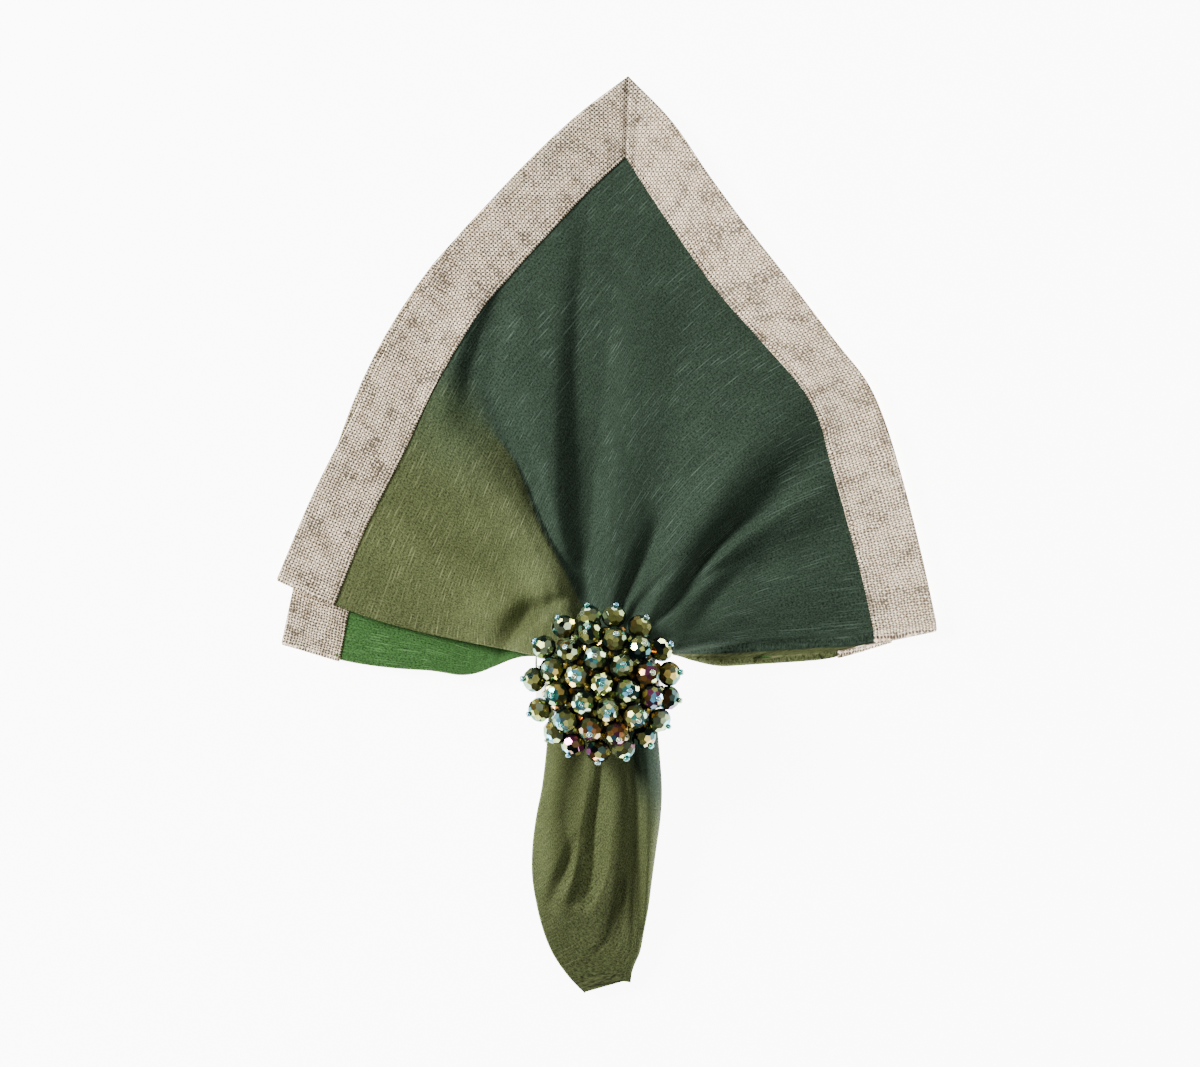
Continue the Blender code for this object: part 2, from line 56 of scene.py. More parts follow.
# --- the flat napkin ---
NAPKIN_SIDE = 508.0
HALF_SIDE = NAPKIN_SIDE / 2.0
BORDER_WIDTH = 23.0
PANEL_SHARE = 1.0 - BORDER_WIDTH / HALF_SIDE
LINEN_THICK = 0.42
LINEN_OFF = 0.30                    # from the green sheet to the linen strip on it
GREEN_HAIR = 0.3                    # how far the green sheet shows past the linen
MITRE_GAP = 0.00003

# --- the folded stack ---
CLOTH = 1.1
PITCH = 1.5
PAIR_GAP = 1.3
STACK = 3.0 * PITCH + PAIR_GAP
TURN_STEPS = 18
RIGHT_TURN = 8.0                    # half the length of cloth in the right fold edge
LEFT_TURN = 1.2                     # and in each left one

# --- where the folded cloth lies ---
NECK_Y = 9.5
SIDE_PASS = 0.60
CORNER_PASS = 0.364
LEFT_FLARE = math.radians(12.0)
NECK_RISE = 0.16
NECK_PULL = 0.8
NECK_WIDTH = 43.0
FREE_WIDTH = 480.0

# share of the free edge from the side corner | outer edge x, y | inner edge of the border x, y
LEFT_EDGE = np.array([
    (0.00, -128.4, 39.9, -105.6, 29.6),
    (0.15, -114.0, 73.8, -93.5, 59.4),
    (0.30, -97.4, 106.8, -78.9, 88.3),
    (0.45, -81.0, 139.8, -65.0, 117.4),
    (0.60, -60.8, 170.7, -48.3, 145.0),
    (0.70, -44.4, 189.1, -34.6, 161.4),
    (0.80, -27.4, 206.9, -20.0, 177.4),
    (0.90, -9.3, 223.7, -5.4, 193.0),
    (1.00, 10.3, 238.6, 9.3, 206.6),
])
RIGHT_EDGE = np.array([
    (0.00, 132.3, 20.9, 107.6, 17.6),
    (0.12, 125.8, 50.8, 101.8, 43.2),
    (0.25, 117.6, 82.9, 94.5, 70.2),
    (0.34, 110.7, 104.8, 89.2, 89.0),
    (0.40, 104.2, 118.6, 85.8, 101.9),
    (0.47, 93.2, 132.6, 78.9, 115.1),
    (0.60, 73.1, 159.0, 60.6, 136.3),
    (0.70, 57.3, 179.1, 46.2, 152.7),
    (0.80, 42.2, 199.6, 33.4, 170.2),
    (0.90, 27.7, 220.6, 21.1, 188.3),
    (1.00, 10.3, 238.6, 9.3, 206.6),
])
# y | left side x, right side x
TAIL_SIDES = np.array([
    (-122.8, -7.6, 11.9),
    (-118.1, -12.2, 12.6),
    (-112.2, -16.8, 14.0),
    (-106.3, -20.4, 15.8),
    (-98.4, -23.6, 17.2),
    (-88.5, -26.2, 19.0),
    (-76.6, -28.1, 20.5),
    (-64.8, -28.0, 22.1),
    (-52.9, -26.5, 23.7),
    (-41.1, -24.2, 24.1),
    (-25.3, -22.4, 22.9),
    (-8.0, -21.5, 21.5),
    (NECK_Y, -21.5, 21.5),
])
TAIL_TIP_Y = TAIL_SIDES[0][0]
TIP_SLANT = 5.5                     # how much shorter the tail is at its right
SLANT_REACH = 0.15                  # share of the tail over which that evens out
TIP_ROUND = 6.0                     # length over which the tip of the tail closes
TIP_SLOPE = 36.0                    # length over which the tail slopes down to its tip
TIP_THIN = 0.45                     # and how thick it still is there

# ridges of the folds, from the ring outwards
# name | start, middle, end x, y | height at the start, end | half-width at the start, end
FOLDS = [
    ("olive_side", (-15, 2), (-52, 36), (-96, 60), 2.5, 3, 7, 24),
    ("olive_crest", (-11.5, 2), (-28, 58), (-64, 108), 5, 3.5, 6.5, 17),
    ("left_crest", (-7.5, 2), (-19, 70), (-24, 168), 5, 2, 5.5, 16),
    ("middle_crest", (-1, 2), (7, 70), (20, 184), 5, 2, 6, 28),
    ("right_crest", (6, 2), (34, 58), (82, 116), 5.5, 4, 6, 19),
    ("right_branch", (12, 2), (50, 51), (100, 82), 5, 2.5, 5.5, 12),
    ("low_right", (16, 2), (54, 28), (112, 44), 3.5, 2.5, 7, 20),
    ("tail_left", (-12, -2), (-19, -52), (-15, -114), 4.8, 4, 8.5, 13),
    ("tail_middle", (1, -2), (3, -45), (-4, -116), 6, 5.4, 8, 12),
    ("tail_right", (13, -2), (17, -50), (16, -116), 4.5, 3.6, 7.5, 8),
]
MOUND = 3.5
MOUND_REACH = 130.0
FOLD_START = 12.0
RISE_AT_START = 0.6
FOLD_FADE = 0.3

# creases: how round each is (0 sharp, 1 soft), then places along it: x, y | depth (below 0, a
# ridge) | half-width to its left and to its right, seen walking along it
CREASES = {
    "straight_valley": (0.9, [(-3, 190, 0, 9, 9), (-5, 150, 2, 16, 10), (-7, 119, 3, 18, 12),
        (-7.5, 91.2, 3.6, 16, 12), (-7.8, 66, 3.8, 12, 10), (-8.2, 47.8, 3.4, 8, 8),
        (-8.2, 32, 2.6, 5, 5.5), (-7, 16, 1.2, 3.5, 3.5)]),
    "left_fold": (1.0, [(-15.5, 34, 0, 5, 5), (-17.5, 48, -2.4, 9, 8),
        (-19.5, 66, -3.8, 18, 10.5), (-19.5, 91, -4.2, 26, 12), (-19, 120, -3.8, 28, 12.5),
        (-17.5, 150, -3, 28, 13), (-14, 185, -1, 22, 12), (-11, 205, 0, 14, 10)]),
    "border_ridge": (0.8, [(-40, 164, 0, 6, 6), (-48, 148, -2.6, 9, 9), (-55, 133, -3.8, 10, 12),
        (-60, 120, -4, 11, 13), (-62, 108, -3, 12, 12), (-60, 98, 0, 10, 10)]),
    "olive_overlap": (0.4, [(-40, 156, 0, 10, 6), (-44, 142, 2.6, 10, 8), (-47, 128, 4.2, 9, 9),
        (-49, 116, 4.8, 8, 8), (-45, 104, 4.8, 8, 6), (-37, 92.3, 4.4, 8, 3.2),
        (-27.7, 72.1, 4.4, 7, 2.4), (-20.2, 55.5, 4.4, 6, 2.2), (-11.6, 40.4, 3.6, 3.6, 2),
        (-10, 32, 2.2, 3, 2)]),
    "olive_rim": (1.0, [(-80, 110, 0, 8, 8), (-66, 102, -2.4, 11, 14), (-52, 89, -3.4, 11, 20),
        (-37, 70, -3.2, 9, 20), (-28, 54, -3, 7, 14), (-19, 38, -2, 5, 8), (-14, 28, 0, 4, 4)]),
    "left_bump": (1.0, [(-36, 160, 0, 10, 8), (-34, 140, -2, 12, 11), (-36, 122, -3, 14, 11),
        (-32, 104, -2.8, 12, 10), (-27, 88, -1.6, 8, 7), (-22, 72, 0, 5, 4)]),
    "neck_fold_left": (0.5, [(30, 76, 0, 4, 7), (24.3, 64.4, 1.6, 4, 7), (18.6, 54, 3, 3.6, 6.4),
        (12.6, 42, 3.8, 3.2, 5.4), (7.6, 30, 3.2, 2.8, 4), (4.5, 16, 1, 2.6, 3)]),
    "neck_fold_right": (0.4, [(33.5, 52, 0, 3.6, 6), (27, 43.5, 1.8, 3.4, 5),
        (19.6, 36, 2.8, 3, 4.4), (12.6, 27, 2.8, 2.8, 3.8), (7.5, 16, 1.2, 2.6, 3)]),
    "neck_ridge": (1.0, [(30, 64, 0, 5, 5), (23, 50, -1, 5, 4.2), (15.5, 38, -1.4, 4, 3.6),
        (9.5, 26, -0.8, 3, 3)]),
    "right_fold": (1.0, [(17, 26, 0, 6, 5), (26, 41, -1.8, 10, 7), (34, 54, -3.6, 20, 9.5),
        (43, 69, -5.6, 38, 13), (50, 83, -6.8, 52, 20), (57, 95, -6.8, 52, 26),
        (69, 104, -5, 44, 28), (83, 112, -2.4, 28, 24), (94, 120, 0, 16, 16)]),
    "right_valley": (0.5, [(94, 92, 0, 8, 8), (82, 87, 1.8, 7, 14), (71, 78, 3, 6, 16),
        (59.5, 67.5, 3.8, 5, 12), (49, 58, 3.8, 4.5, 9), (39, 46.5, 3.2, 4, 6.5),
        (28, 33, 2.8, 3.5, 5), (16.5, 17.5, 1.4, 3, 3.6)]),
    "light_ridge": (0.4, [(35, 37, 0, 4, 4), (45, 47.5, -2.4, 4, 9), (56, 57, -3.6, 6, 18),
        (70, 67, -3.6, 8, 26), (84, 76, -2, 10, 26), (98, 82, 0, 10, 14)]),
    "low_valley": (0.5, [(98, 78, 0, 8, 6), (82, 69, 0.5, 8, 5), (69, 59.5, 1.2, 7, 5),
        (58, 52, 1.8, 6, 4.4), (48, 46, 2.2, 5, 4), (38, 39.5, 2.2, 4.5, 3.6),
        (24, 26, 1.2, 3.5, 3)]),
    "olive_dimple": (0.5, [(-13, 33, 1, 3, 3), (-19, 31, 3, 4, 5), (-24, 28, 4.6, 5, 8),
        (-29, 24.6, 5.4, 5.4, 9), (-34.5, 19, 4.6, 5, 8), (-38.5, 13, 2.4, 4, 6),
        (-41, 7, 0, 4, 5)]),
    "dimple_rim": (1.0, [(-12, 40, 0, 4, 4), (-21, 39, -2.2, 8, 11), (-31, 36, -3.4, 9, 14),
        (-40, 29, -3.6, 9, 16), (-46, 20, -2.4, 8, 16), (-50, 10, 0, 6, 12)]),
    "middle_hollow": (1.0, [(36, 118, 0, 14, 14), (26.8, 90.3, 0.6, 12, 14),
        (20, 66, 0.4, 7, 8)]),
    "tail_rim_valley": (0.4, [(-0.5, -16, 1.6, 6, 2.4), (-0.4, -33.6, 3.2, 9, 2.8),
        (-1.6, -43.8, 3.8, 10, 2.8), (-3, -54.1, 4.4, 9, 3.2), (-3.4, -64, 4.6, 8, 3.6),
        (-3.6, -74, 4.2, 7, 4), (-5.6, -84, 2.6, 5, 4), (-8, -91, 0, 4, 4)]),
    "tail_outer_valley": (0.5, [(-9, -58, 0, 3, 3), (-12, -66.8, 2.2, 4, 4),
        (-16, -76.6, 3, 4.6, 4.6), (-19.5, -84, 1.6, 4, 4), (-22, -90, 0, 4, 4)]),
    "tail_lobe_rim": (0.8, [(-3.6, -20, 0, 3, 4), (-5, -34, -2.2, 3.4, 7),
        (-6.6, -46, -3, 3.6, 8), (-8.4, -56, -3.2, 4, 7), (-9.4, -64, -3.4, 4.6, 4.6),
        (-10.8, -74, -3.4, 5, 4), (-13.5, -83, -1.8, 4.5, 4), (-17, -90, 0, 4, 4)]),
    "tail_curl": (0.7, [(7.6, -30, 0, 3, 3), (7.9, -46, -1, 2.6, 5), (6.9, -60, -1.6, 2.6, 6),
        (4.4, -72, -2, 3.4, 6), (0.4, -82, -2.4, 4, 6), (-5, -89, -2.4, 4.4, 5),
        (-13, -91.2, -2, 4.4, 4), (-20, -89, 0, 4, 4)]),
    "tail_right_valley": (0.5, [(11.6, -18, 1.4, 2.6, 2.6), (12.8, -34.4, 2.8, 2.8, 2.8),
        (14, -47, 3.6, 3.4, 3.4), (13.6, -62.8, 4.4, 4.4, 4), (13.8, -74.6, 5, 4.4, 4.4),
        (14, -88, 5.2, 4, 4.4), (14, -101.5, 4, 3.6, 4), (13, -112, 0.4, 3, 3)]),
    "tail_right_lobe": (1.0, [(16, -20, 0, 4, 4), (18, -34, -1.6, 4.6, 5),
        (18.6, -52, -1.4, 5, 6), (18, -72, 0, 5, 6)]),
    "tail_low_valley": (0.6, [(6.4, -68.6, 0, 3, 3), (6.4, -80, 3, 3.6, 4.4),
        (5, -92.4, 5, 4.4, 5), (3.4, -102.2, 4.8, 4.8, 5.2), (-2.5, -110.2, 3.4, 4.4, 4.4),
        (-8.5, -115.2, 0.4, 4, 4)]),
}
CREASE_STEPS = 7                    # smooth steps between two places of a crease
FLOOR_SOFT = 0.5                    # the lowest places round off instead of being cut flat
FOLD_AT_TIP = 0.3                   # share of the folds' height that is left at the tail's tip

LOWER_SWING = math.radians(10.7)
SWING_REACH = 0.5
SWING_START = 0.15
LOWER_DRAW = 0.052
DRAW_REACH = 0.7
# how far the lower pair of layers hangs out below the top pair along the side fold edges
# side | drop | across where it starts | from the ring's middle: begins, full, full until, ends
DROPS = [
    ("left", 1.2, 0.3, 22, 50, 104, 128),
    ("left", 2.8, 0.2, 24, 42, 46, 72),
    ("right", 7, 0.7, 16, 39, 96, 160),
]
RIGHT_DRAW = 0.135                  # how far the lower layers draw back at the right fold edge
RIGHT_DRAW_START = 0.55
DRAW_STEP = 0.3                     # share of the turn between the layers in which they do it
DROP_STEP = 0.4                     # and in which they drop, once before it and once after

EDGE_STEP = 0.02                    # the fold edge's direction is taken over twice this share

NECK_LIFT = 2.4
NECK_SIDE_LIFT = 4.0
NECK_HALF = 21.0
NECK_SPREAD = 2.18
TAIL_SPREAD = 1.5
FAN_REACH = 70.0
LIFT_REACH = 30.0
BAND_CLEAR = 22.0

# how finely the sheets are divided
TAIL_ROWS = 76
FAN_ROWS = 104
BORDER_ROWS = 8
TOP_COLUMNS = 150
UNDER_COLUMNS = 60
EDGE_CROWDING = 0.55                # how much closer together the columns are at the fold edges
STRIP_ROWS = 9
TAIL_CROWDING = 0.9                 # below 1, the tail's rows are closer towards the ring
STRIP_ROUND = 0.35                  # width of the rounding along a strip's long edges
STRIP_INSET = 0.06                  # share of its width at which its even rows begin


# --- small helpers ---
def mix(low, high, share):
    return low + (high - low) * share


def ease(share):
    share = np.clip(share, 0.0, 1.0)
    return share * share * (3.0 - 2.0 * share)


def curve(share, start, leave, end, arrive):
    """A smooth curve from start to end, with the slopes it leaves and arrives at."""
    square = share * share
    cube = square * share
    return ((2 * cube - 3 * square + 1) * start + (cube - 2 * square + share) * leave
            + (3 * square - 2 * cube) * end + (cube - square) * arrive)


def read_table(table, key, column):
    """A smooth curve through one column of a table, by its first column."""
    last = len(table) - 1
    keys = table[:, 0]
    values = table[:, column]
    row = np.clip(np.searchsorted(keys, key, side="left") - 1, 0, last - 1)
    before = np.maximum(row - 1, 0)
    after = np.minimum(row + 2, last)
    span = keys[row + 1] - keys[row]
    share = (key - keys[row]) / span
    slope_low = (values[row + 1] - values[before]) / (keys[row + 1] - keys[before])
    slope_high = (values[after] - values[row]) / (keys[after] - keys[row])
    return curve(share, values[row], slope_low * span, values[row + 1], slope_high * span)


# --- plan: across runs from the left fold edge 0 to the right 1, out from the middle 0 to 1 ---
def free_edge(across, column):
    """Both coordinates of the free edge (column 1) or of the border's inner edge (column 3)."""
    left = np.clip(2.0 * across, 0.0, 1.0)
    right = np.clip(2.0 * (1.0 - across), 0.0, 1.0)
    return [np.where(across <= 0.5, read_table(LEFT_EDGE, left, part),
                     read_table(RIGHT_EDGE, right, part)) for part in (column, column + 1)]


def neck_share(across):
    towards_corner = 1.0 - np.abs(2.0 * across - 1.0)
    return mix(SIDE_PASS, CORNER_PASS, towards_corner)


def tail_plan(across, share):
    y = mix(TAIL_TIP_Y, NECK_Y, share)
    left = read_table(TAIL_SIDES, y, 1)
    right = read_table(TAIL_SIDES, y, 2)
    return mix(left, right, across), y + TIP_SLANT * across * ease(1.0 - share / SLANT_REACH)


def fan_plan(across, out):
    start_x, start_y = tail_plan(across, np.ones_like(out))
    inner_x, inner_y = free_edge(across, 3)
    outer_x, outer_y = free_edge(across, 1)
    begin = neck_share(across)
    share = np.clip((out - begin) / (PANEL_SHARE - begin), 0.0, 1.0)
    reach_x = inner_x - start_x
    reach_y = inner_y - start_y
    length = np.hypot(reach_x, reach_y)
    bearing = np.arctan2(reach_y, reach_x) + LEFT_FLARE * np.maximum(1.0 - 2.0 * across, 0.0)
    arrive = (PANEL_SHARE - begin) / (1.0 - PANEL_SHARE)
    past = (out - PANEL_SHARE) / (1.0 - PANEL_SHARE)
    ends = ((start_x, np.cos(bearing), inner_x, outer_x),
            (start_y, np.sin(bearing) + NECK_RISE, inner_y, outer_y))
    return [np.where(out > PANEL_SHARE, mix(inner, outer, past),
                     curve(share, start, leave * length * NECK_PULL, inner, (outer - inner) * arrive))
            for start, leave, inner, outer in ends]


def plan(across, out):
    begin = neck_share(across)
    tail_x, tail_y = tail_plan(across, np.clip(out / begin, 0.0, 1.0))
    fan_x, fan_y = fan_plan(across, out)
    in_tail = out <= begin
    return np.where(in_tail, tail_x, fan_x), np.where(in_tail, tail_y, fan_y)


def side_drop(across, from_ring):
    """How far the lower layers hang out at each place of the side fold edges."""
    total = 0.0
    for side, drop, begin_across, begin, full, until, end in DROPS:
        if side == "left":
            near_edge = ease((begin_across - across) / begin_across)
        else:
            near_edge = ease((across - begin_across) / (1.0 - begin_across))
        window = ease((from_ring - begin) / (full - begin)) * ease((end - from_ring) / (end - until))
        total = total + drop * near_edge * window
    return total


def swung_plan(across, out, depth):
    """The plan with the lower layers swung down at the left; depth is 0 at the top layer."""
    x, y = plan(across, out)
    in_fan = ease((out - neck_share(across)) / SWING_START)
    lower = ease(depth) * in_fan
    angle = LOWER_SWING * lower * ease(1.0 - across / SWING_REACH)
    drawn = in_fan * ease((depth - 0.5) / DRAW_STEP + 0.5)
    shorter = (1.0 - LOWER_DRAW * lower * ease(1.0 - across / DRAW_REACH)
               - RIGHT_DRAW * drawn * ease((across - RIGHT_DRAW_START) / (1.0 - RIGHT_DRAW_START)))
    stepped = in_fan * 0.5 * (ease(depth / DROP_STEP) + ease((depth - 1.0) / DROP_STEP + 1.0))
    drop = np.where(across < 0.5, lower, stepped) * side_drop(across, np.abs(x))
    return ((x * np.cos(angle) - y * np.sin(angle)) * shorter,
            (x * np.sin(angle) + y * np.cos(angle)) * shorter - drop)


def outward(across, out, depth):
    """Unit vector out of the nearer fold edge."""
    edge = np.where(across < 0.5, 0.0, 1.0)
    low_x, low_y = swung_plan(edge, np.maximum(out - EDGE_STEP, 0.0), depth)
    high_x, high_y = swung_plan(edge, np.minimum(out + EDGE_STEP, 1.0), depth)
    length = np.hypot(high_x - low_x, high_y - low_y)
    along_x = (high_x - low_x) / length
    along_y = (high_y - low_y) / length
    side = np.where(edge == 0.0, 1.0, -1.0)
    return -along_y * side, along_x * side


def width_across(across, out):
    begin = neck_share(across)
    y = mix(TAIL_TIP_Y, NECK_Y, np.clip(out / begin, 0.0, 1.0))
    tail = read_table(TAIL_SIDES, y, 2) - read_table(TAIL_SIDES, y, 1)
    fan = mix(NECK_WIDTH, FREE_WIDTH, (out - begin) / (1.0 - begin))
    return np.where(out <= begin, tail, fan)


# --- height ---
def ridge_height(x, y):
    """The main ridges of the folds and the mound that they stand on."""
    far = np.minimum(np.hypot(x, y) / MOUND_REACH, 1.0)
    total = MOUND * (1.0 - far * far) ** 2
    for _name, start, middle, end, high0, high1, wide0, wide1 in FOLDS:
        best = np.zeros_like(x)
        for (x0, y0), (x1, y1), done in ((start, middle, 0.0), (middle, end, 0.5)):
            length = math.hypot(x1 - x0, y1 - y0)
            along_x = (x1 - x0) / length
            along_y = (y1 - y0) / length
            reach = (x - x0) * along_x + (y - y0) * along_y
            on_leg = np.clip(reach, -FOLD_START if done == 0.0 else 0.0, length)
            share = done + 0.5 * on_leg / length
            aside = np.hypot(x - x0 - on_leg * along_x, y - y0 - on_leg * along_y)
            wide = mix(wide0, wide1, np.maximum(share, 0.0))
            rise = ease(on_leg / FOLD_START + RISE_AT_START) if done == 0.0 else 1.0
            high = mix(high0, high1, np.maximum(share, 0.0)) * rise * ease((1.0 - share) / FOLD_FADE)
            best = np.maximum(best, high * np.clip(1.0 - (aside / wide) ** 2, 0.0, 1.0) ** 2)
        total += best
    return total


def smooth_path(places):
    """More places along a crease, on a smooth curve through its own."""
    table = np.array([(float(index), *place) for index, place in enumerate(places)])
    keys = np.linspace(0.0, len(places) - 1.0, (len(places) - 1) * CREASE_STEPS + 1)
    return np.stack([read_table(table, keys, column) for column in range(1, 6)], axis=1)


def crease_depth(roundness, places, x, y):
    """How deep one crease cuts at each point."""
    path = smooth_path(places)
    nearest = np.full(x.shape, 1.0e9)
    depth = np.zeros_like(x)
    wide = np.ones_like(x)
    for low, high in zip(path[:-1], path[1:]):
        run_x = high[0] - low[0]
        run_y = high[1] - low[1]
        length = math.hypot(run_x, run_y)
        share = np.clip(((x - low[0]) * run_x + (y - low[1]) * run_y) / length ** 2, 0.0, 1.0)
        off_x = x - low[0] - share * run_x
        off_y = y - low[1] - share * run_y
        far = np.hypot(off_x, off_y)
        is_left = run_x * off_y - run_y * off_x > 0.0
        closer = far < nearest
        nearest = np.where(closer, far, nearest)
        depth = np.where(closer, mix(low[2], high[2], share), depth)
        side = np.where(is_left, mix(low[3], high[3], share), mix(low[4], high[4], share))
        wide = np.where(closer, side, wide)
    ratio = np.clip(nearest / np.maximum(wide, 0.5), 0.0, 1.0)
    return depth * (1.0 - ratio) ** 2 * (1.0 + 2.0 * roundness * ratio)


def fold_height(x, y):
    total = ridge_height(x, y)
    for roundness, places in CREASES.values():
        total = total - crease_depth(roundness, places, x, y)
    return (0.5 * (total + np.sqrt(total * total + FLOOR_SOFT * FLOOR_SOFT))
            - 0.5 * FLOOR_SOFT * np.exp(-np.abs(total)))


def spread(x, y):
    fan = mix(1.0, NECK_SPREAD, ease(1.0 - (np.hypot(x, y) - NECK_Y) / FAN_REACH))
    tail = mix(TAIL_SPREAD, NECK_SPREAD, ease((y - TAIL_TIP_Y) / (NECK_Y - TAIL_TIP_Y)))
    return np.where(y > NECK_Y, fan, tail)


def lift(x, y):
    beyond = np.where(y > 0.0, np.hypot(x, y) - BAND_CLEAR, -y - (BAND_HIGH.y - BAND_LOW.y) / MM / 2.0)
    near = ease(1.0 - beyond / LIFT_REACH)
    return near * (NECK_LIFT + NECK_SIDE_LIFT * np.minimum(np.abs(x) / NECK_HALF, 1.1) ** 4)


# --- section: the loop of four layers ---
# a section point: across, bulge, height, normal out, normal up, depth, then how far it is from
# the right and the left fold line of the flat napkin, from -1 to 1
RIGHT_SIDE_UP = (1.0, -1.0, 1.0, -1.0)
LAYER_SIGNS = ((1.0, 1.0), (1.0, -1.0), (-1.0, -1.0), (-1.0, 1.0))


def layer_height(layer):
    return (STACK, STACK - PITCH, PITCH, 0.0)[layer]


def column_places(layer):
    """The places across of one layer's columns, closer together at its fold edges."""
    steps = TOP_COLUMNS if layer < 2 else UNDER_COLUMNS
    even = np.linspace(0.0, 1.0, steps + 1)
    return mix(even, 0.5 - 0.5 * np.cos(math.pi * even), EDGE_CROWDING)


def layer_run(layer, start, end):
    face = RIGHT_SIDE_UP[layer]
    inside = [place for place in column_places(layer) if min(start, end) < place < max(start, end)]
    if end < start:
        inside.reverse()
    return [(across, 0.0, layer_height(layer), 0.0, face, layer - 1.0, *LAYER_SIGNS[layer])
            for across in [start] + inside + [end]]


def turn_run(edge, start_layer, end_layer):
    middle = (layer_height(start_layer) + layer_height(end_layer)) / 2.0
    radius = (layer_height(start_layer) - layer_height(end_layer)) / 2.0
    face = RIGHT_SIDE_UP[min(start_layer, end_layer)]
    start_s, start_t = LAYER_SIGNS[start_layer]
    end_s, end_t = LAYER_SIGNS[end_layer]
    points = []
    for step in range(1, TURN_STEPS):
        share = step / TURN_STEPS
        angle = math.pi * share
        points.append((edge, abs(radius) * math.sin(angle), middle + radius * math.cos(angle),
                       face * math.sin(angle),
                       face * math.copysign(1.0, radius) * math.cos(angle),
                       mix(start_layer, end_layer, share) - 1.0,
                       mix(start_s, end_s, share), mix(start_t, end_t, share)))
    return points


def section():
    return (layer_run(0, 0.0, 1.0) + turn_run(1.0, 0, 3)
            + layer_run(3, 1.0, 0.0) + turn_run(0.0, 3, 2)
            + layer_run(2, 0.0, 1.0) + turn_run(1.0, 2, 1)
            + layer_run(1, 1.0, 0.0) + turn_run(0.0, 1, 0))


def strip_section(start_layer, end_layer, edge):
    mitre = 0.5 + math.copysign(MITRE_GAP, edge - 0.5)
    return (layer_run(start_layer, mitre, edge) + turn_run(edge, start_layer, end_layer)
            + layer_run(end_layer, edge, mitre))


def place(loop, out, offset):
    """Points of the cloth, moved by offset to its right side: x, y, z in millimetres."""
    across, bulge, height, normal_out, normal_up, depth = loop[:6]
    widest = np.where(across >= 0.5, 0.5 * STACK, 0.5 * PITCH)
    inset = (widest + CLOTH / 2.0) / width_across(across, out)
    inner_across = np.where(across < 0.5, mix(inset, 0.5, across / 0.5),
                            mix(0.5, 1.0 - inset, (across - 0.5) / 0.5))
    x, y = swung_plan(inner_across, out, depth)
    out_x, out_y = outward(across, out, depth)
    turned = np.where(bulge > 0.0, bulge + offset * normal_out, 0.0)
    x = x + out_x * turned
    y = y + out_y * turned
    from_tip = out / neck_share(across) * (NECK_Y - TAIL_TIP_Y)
    nose = np.clip(from_tip / TIP_ROUND, 0.0, 1.0)
    closing = np.sqrt(1.0 - (1.0 - nose) ** 2) * mix(TIP_THIN, 1.0, ease(from_tip / TIP_SLOPE))
    stack_middle = 0.5 * STACK
    raised = (height - stack_middle) * closing + stack_middle
    z = (lift(x, y) + fold_height(x, y) * mix(FOLD_AT_TIP, 1.0, closing)
         + raised * spread(x, y) + CLOTH / 2.0 + offset * normal_up)
    return x, y, z


def flat_place(loop, out):
    """Where a point of the folded cloth lies on the flat napkin, in millimetres."""
    across, turn_s, turn_t = loop[0], loop[6], loop[7]
    share_s = np.where(across <= 0.5, out, out * 2.0 * (1.0 - across))
    share_t = np.where(across <= 0.5, out * 2.0 * across, out)
    return (turn_s * RIGHT_TURN + np.sign(turn_s) * share_s * HALF_SIDE,
            turn_t * LEFT_TURN + np.sign(turn_t) * share_t * HALF_SIDE)


# --- meshes ---
def link(name, mesh):
    item = bpy.data.objects.new(name, mesh)
    bpy.context.scene.collection.objects.link(item)
    return item


def new_piece(name, points, faces, material):
    """A smooth object from points in metres."""
    mesh = bpy.data.meshes.new(name)
    mesh.from_pydata(points, [], faces)
    mesh.shade_smooth()
    mesh.materials.append(material)
    return link(name, mesh)


def from_ring(x, y, z):
    """Points in metres from places in millimetres from the ring's middle."""
    return (np.stack([x + RING_X, y + RING_Y, z], axis=-1).reshape(-1, 3) * MM).tolist()


def face_out(mesh):
    work = bmesh.new()
    work.from_mesh(mesh)
    bmesh.ops.recalc_face_normals(work, faces=work.faces)
    work.to_mesh(mesh)
    work.free()


def grid_faces(rows, columns, closed_rows, closed_columns, first=0):
    """Faces between neighbouring rows and columns of points."""
    faces = []
    for row in range(rows if closed_rows else rows - 1):
        low = first + row * columns
        high = first + (row + 1) % rows * columns
        for index in range(columns if closed_columns else columns - 1):
            after = (index + 1) % columns
            faces.append((low + index, low + after, high + after, high + index))
    return faces


def add_map(item, name, first, second):
    """A UV map from two numbers at every vertex."""
    mesh = item.data
    layer = mesh.uv_layers.new(name=name)
    corners = np.empty(len(mesh.loops), dtype=np.int32)
    mesh.loops.foreach_get("vertex_index", corners)
    values = np.stack([first[corners], second[corners]], axis=1)
    layer.data.foreach_set("uv", values.astype(np.float32).ravel())


def row_outs(across):
    """Every row's share of the way from the napkin's middle to its edge, for each column."""
    begin = neck_share(across)[None, :]
    tail = (np.linspace(0.0, 1.0, TAIL_ROWS + 1) ** TAIL_CROWDING)[:, None] * begin
    fan = mix(begin, PANEL_SHARE, np.linspace(0.0, 1.0, FAN_ROWS + 1)[1:, None])
    border = np.linspace(PANEL_SHARE, 1.0, BORDER_ROWS + 1)[1:, None] + 0.0 * begin
    return np.concatenate([tail, fan, border], axis=0)


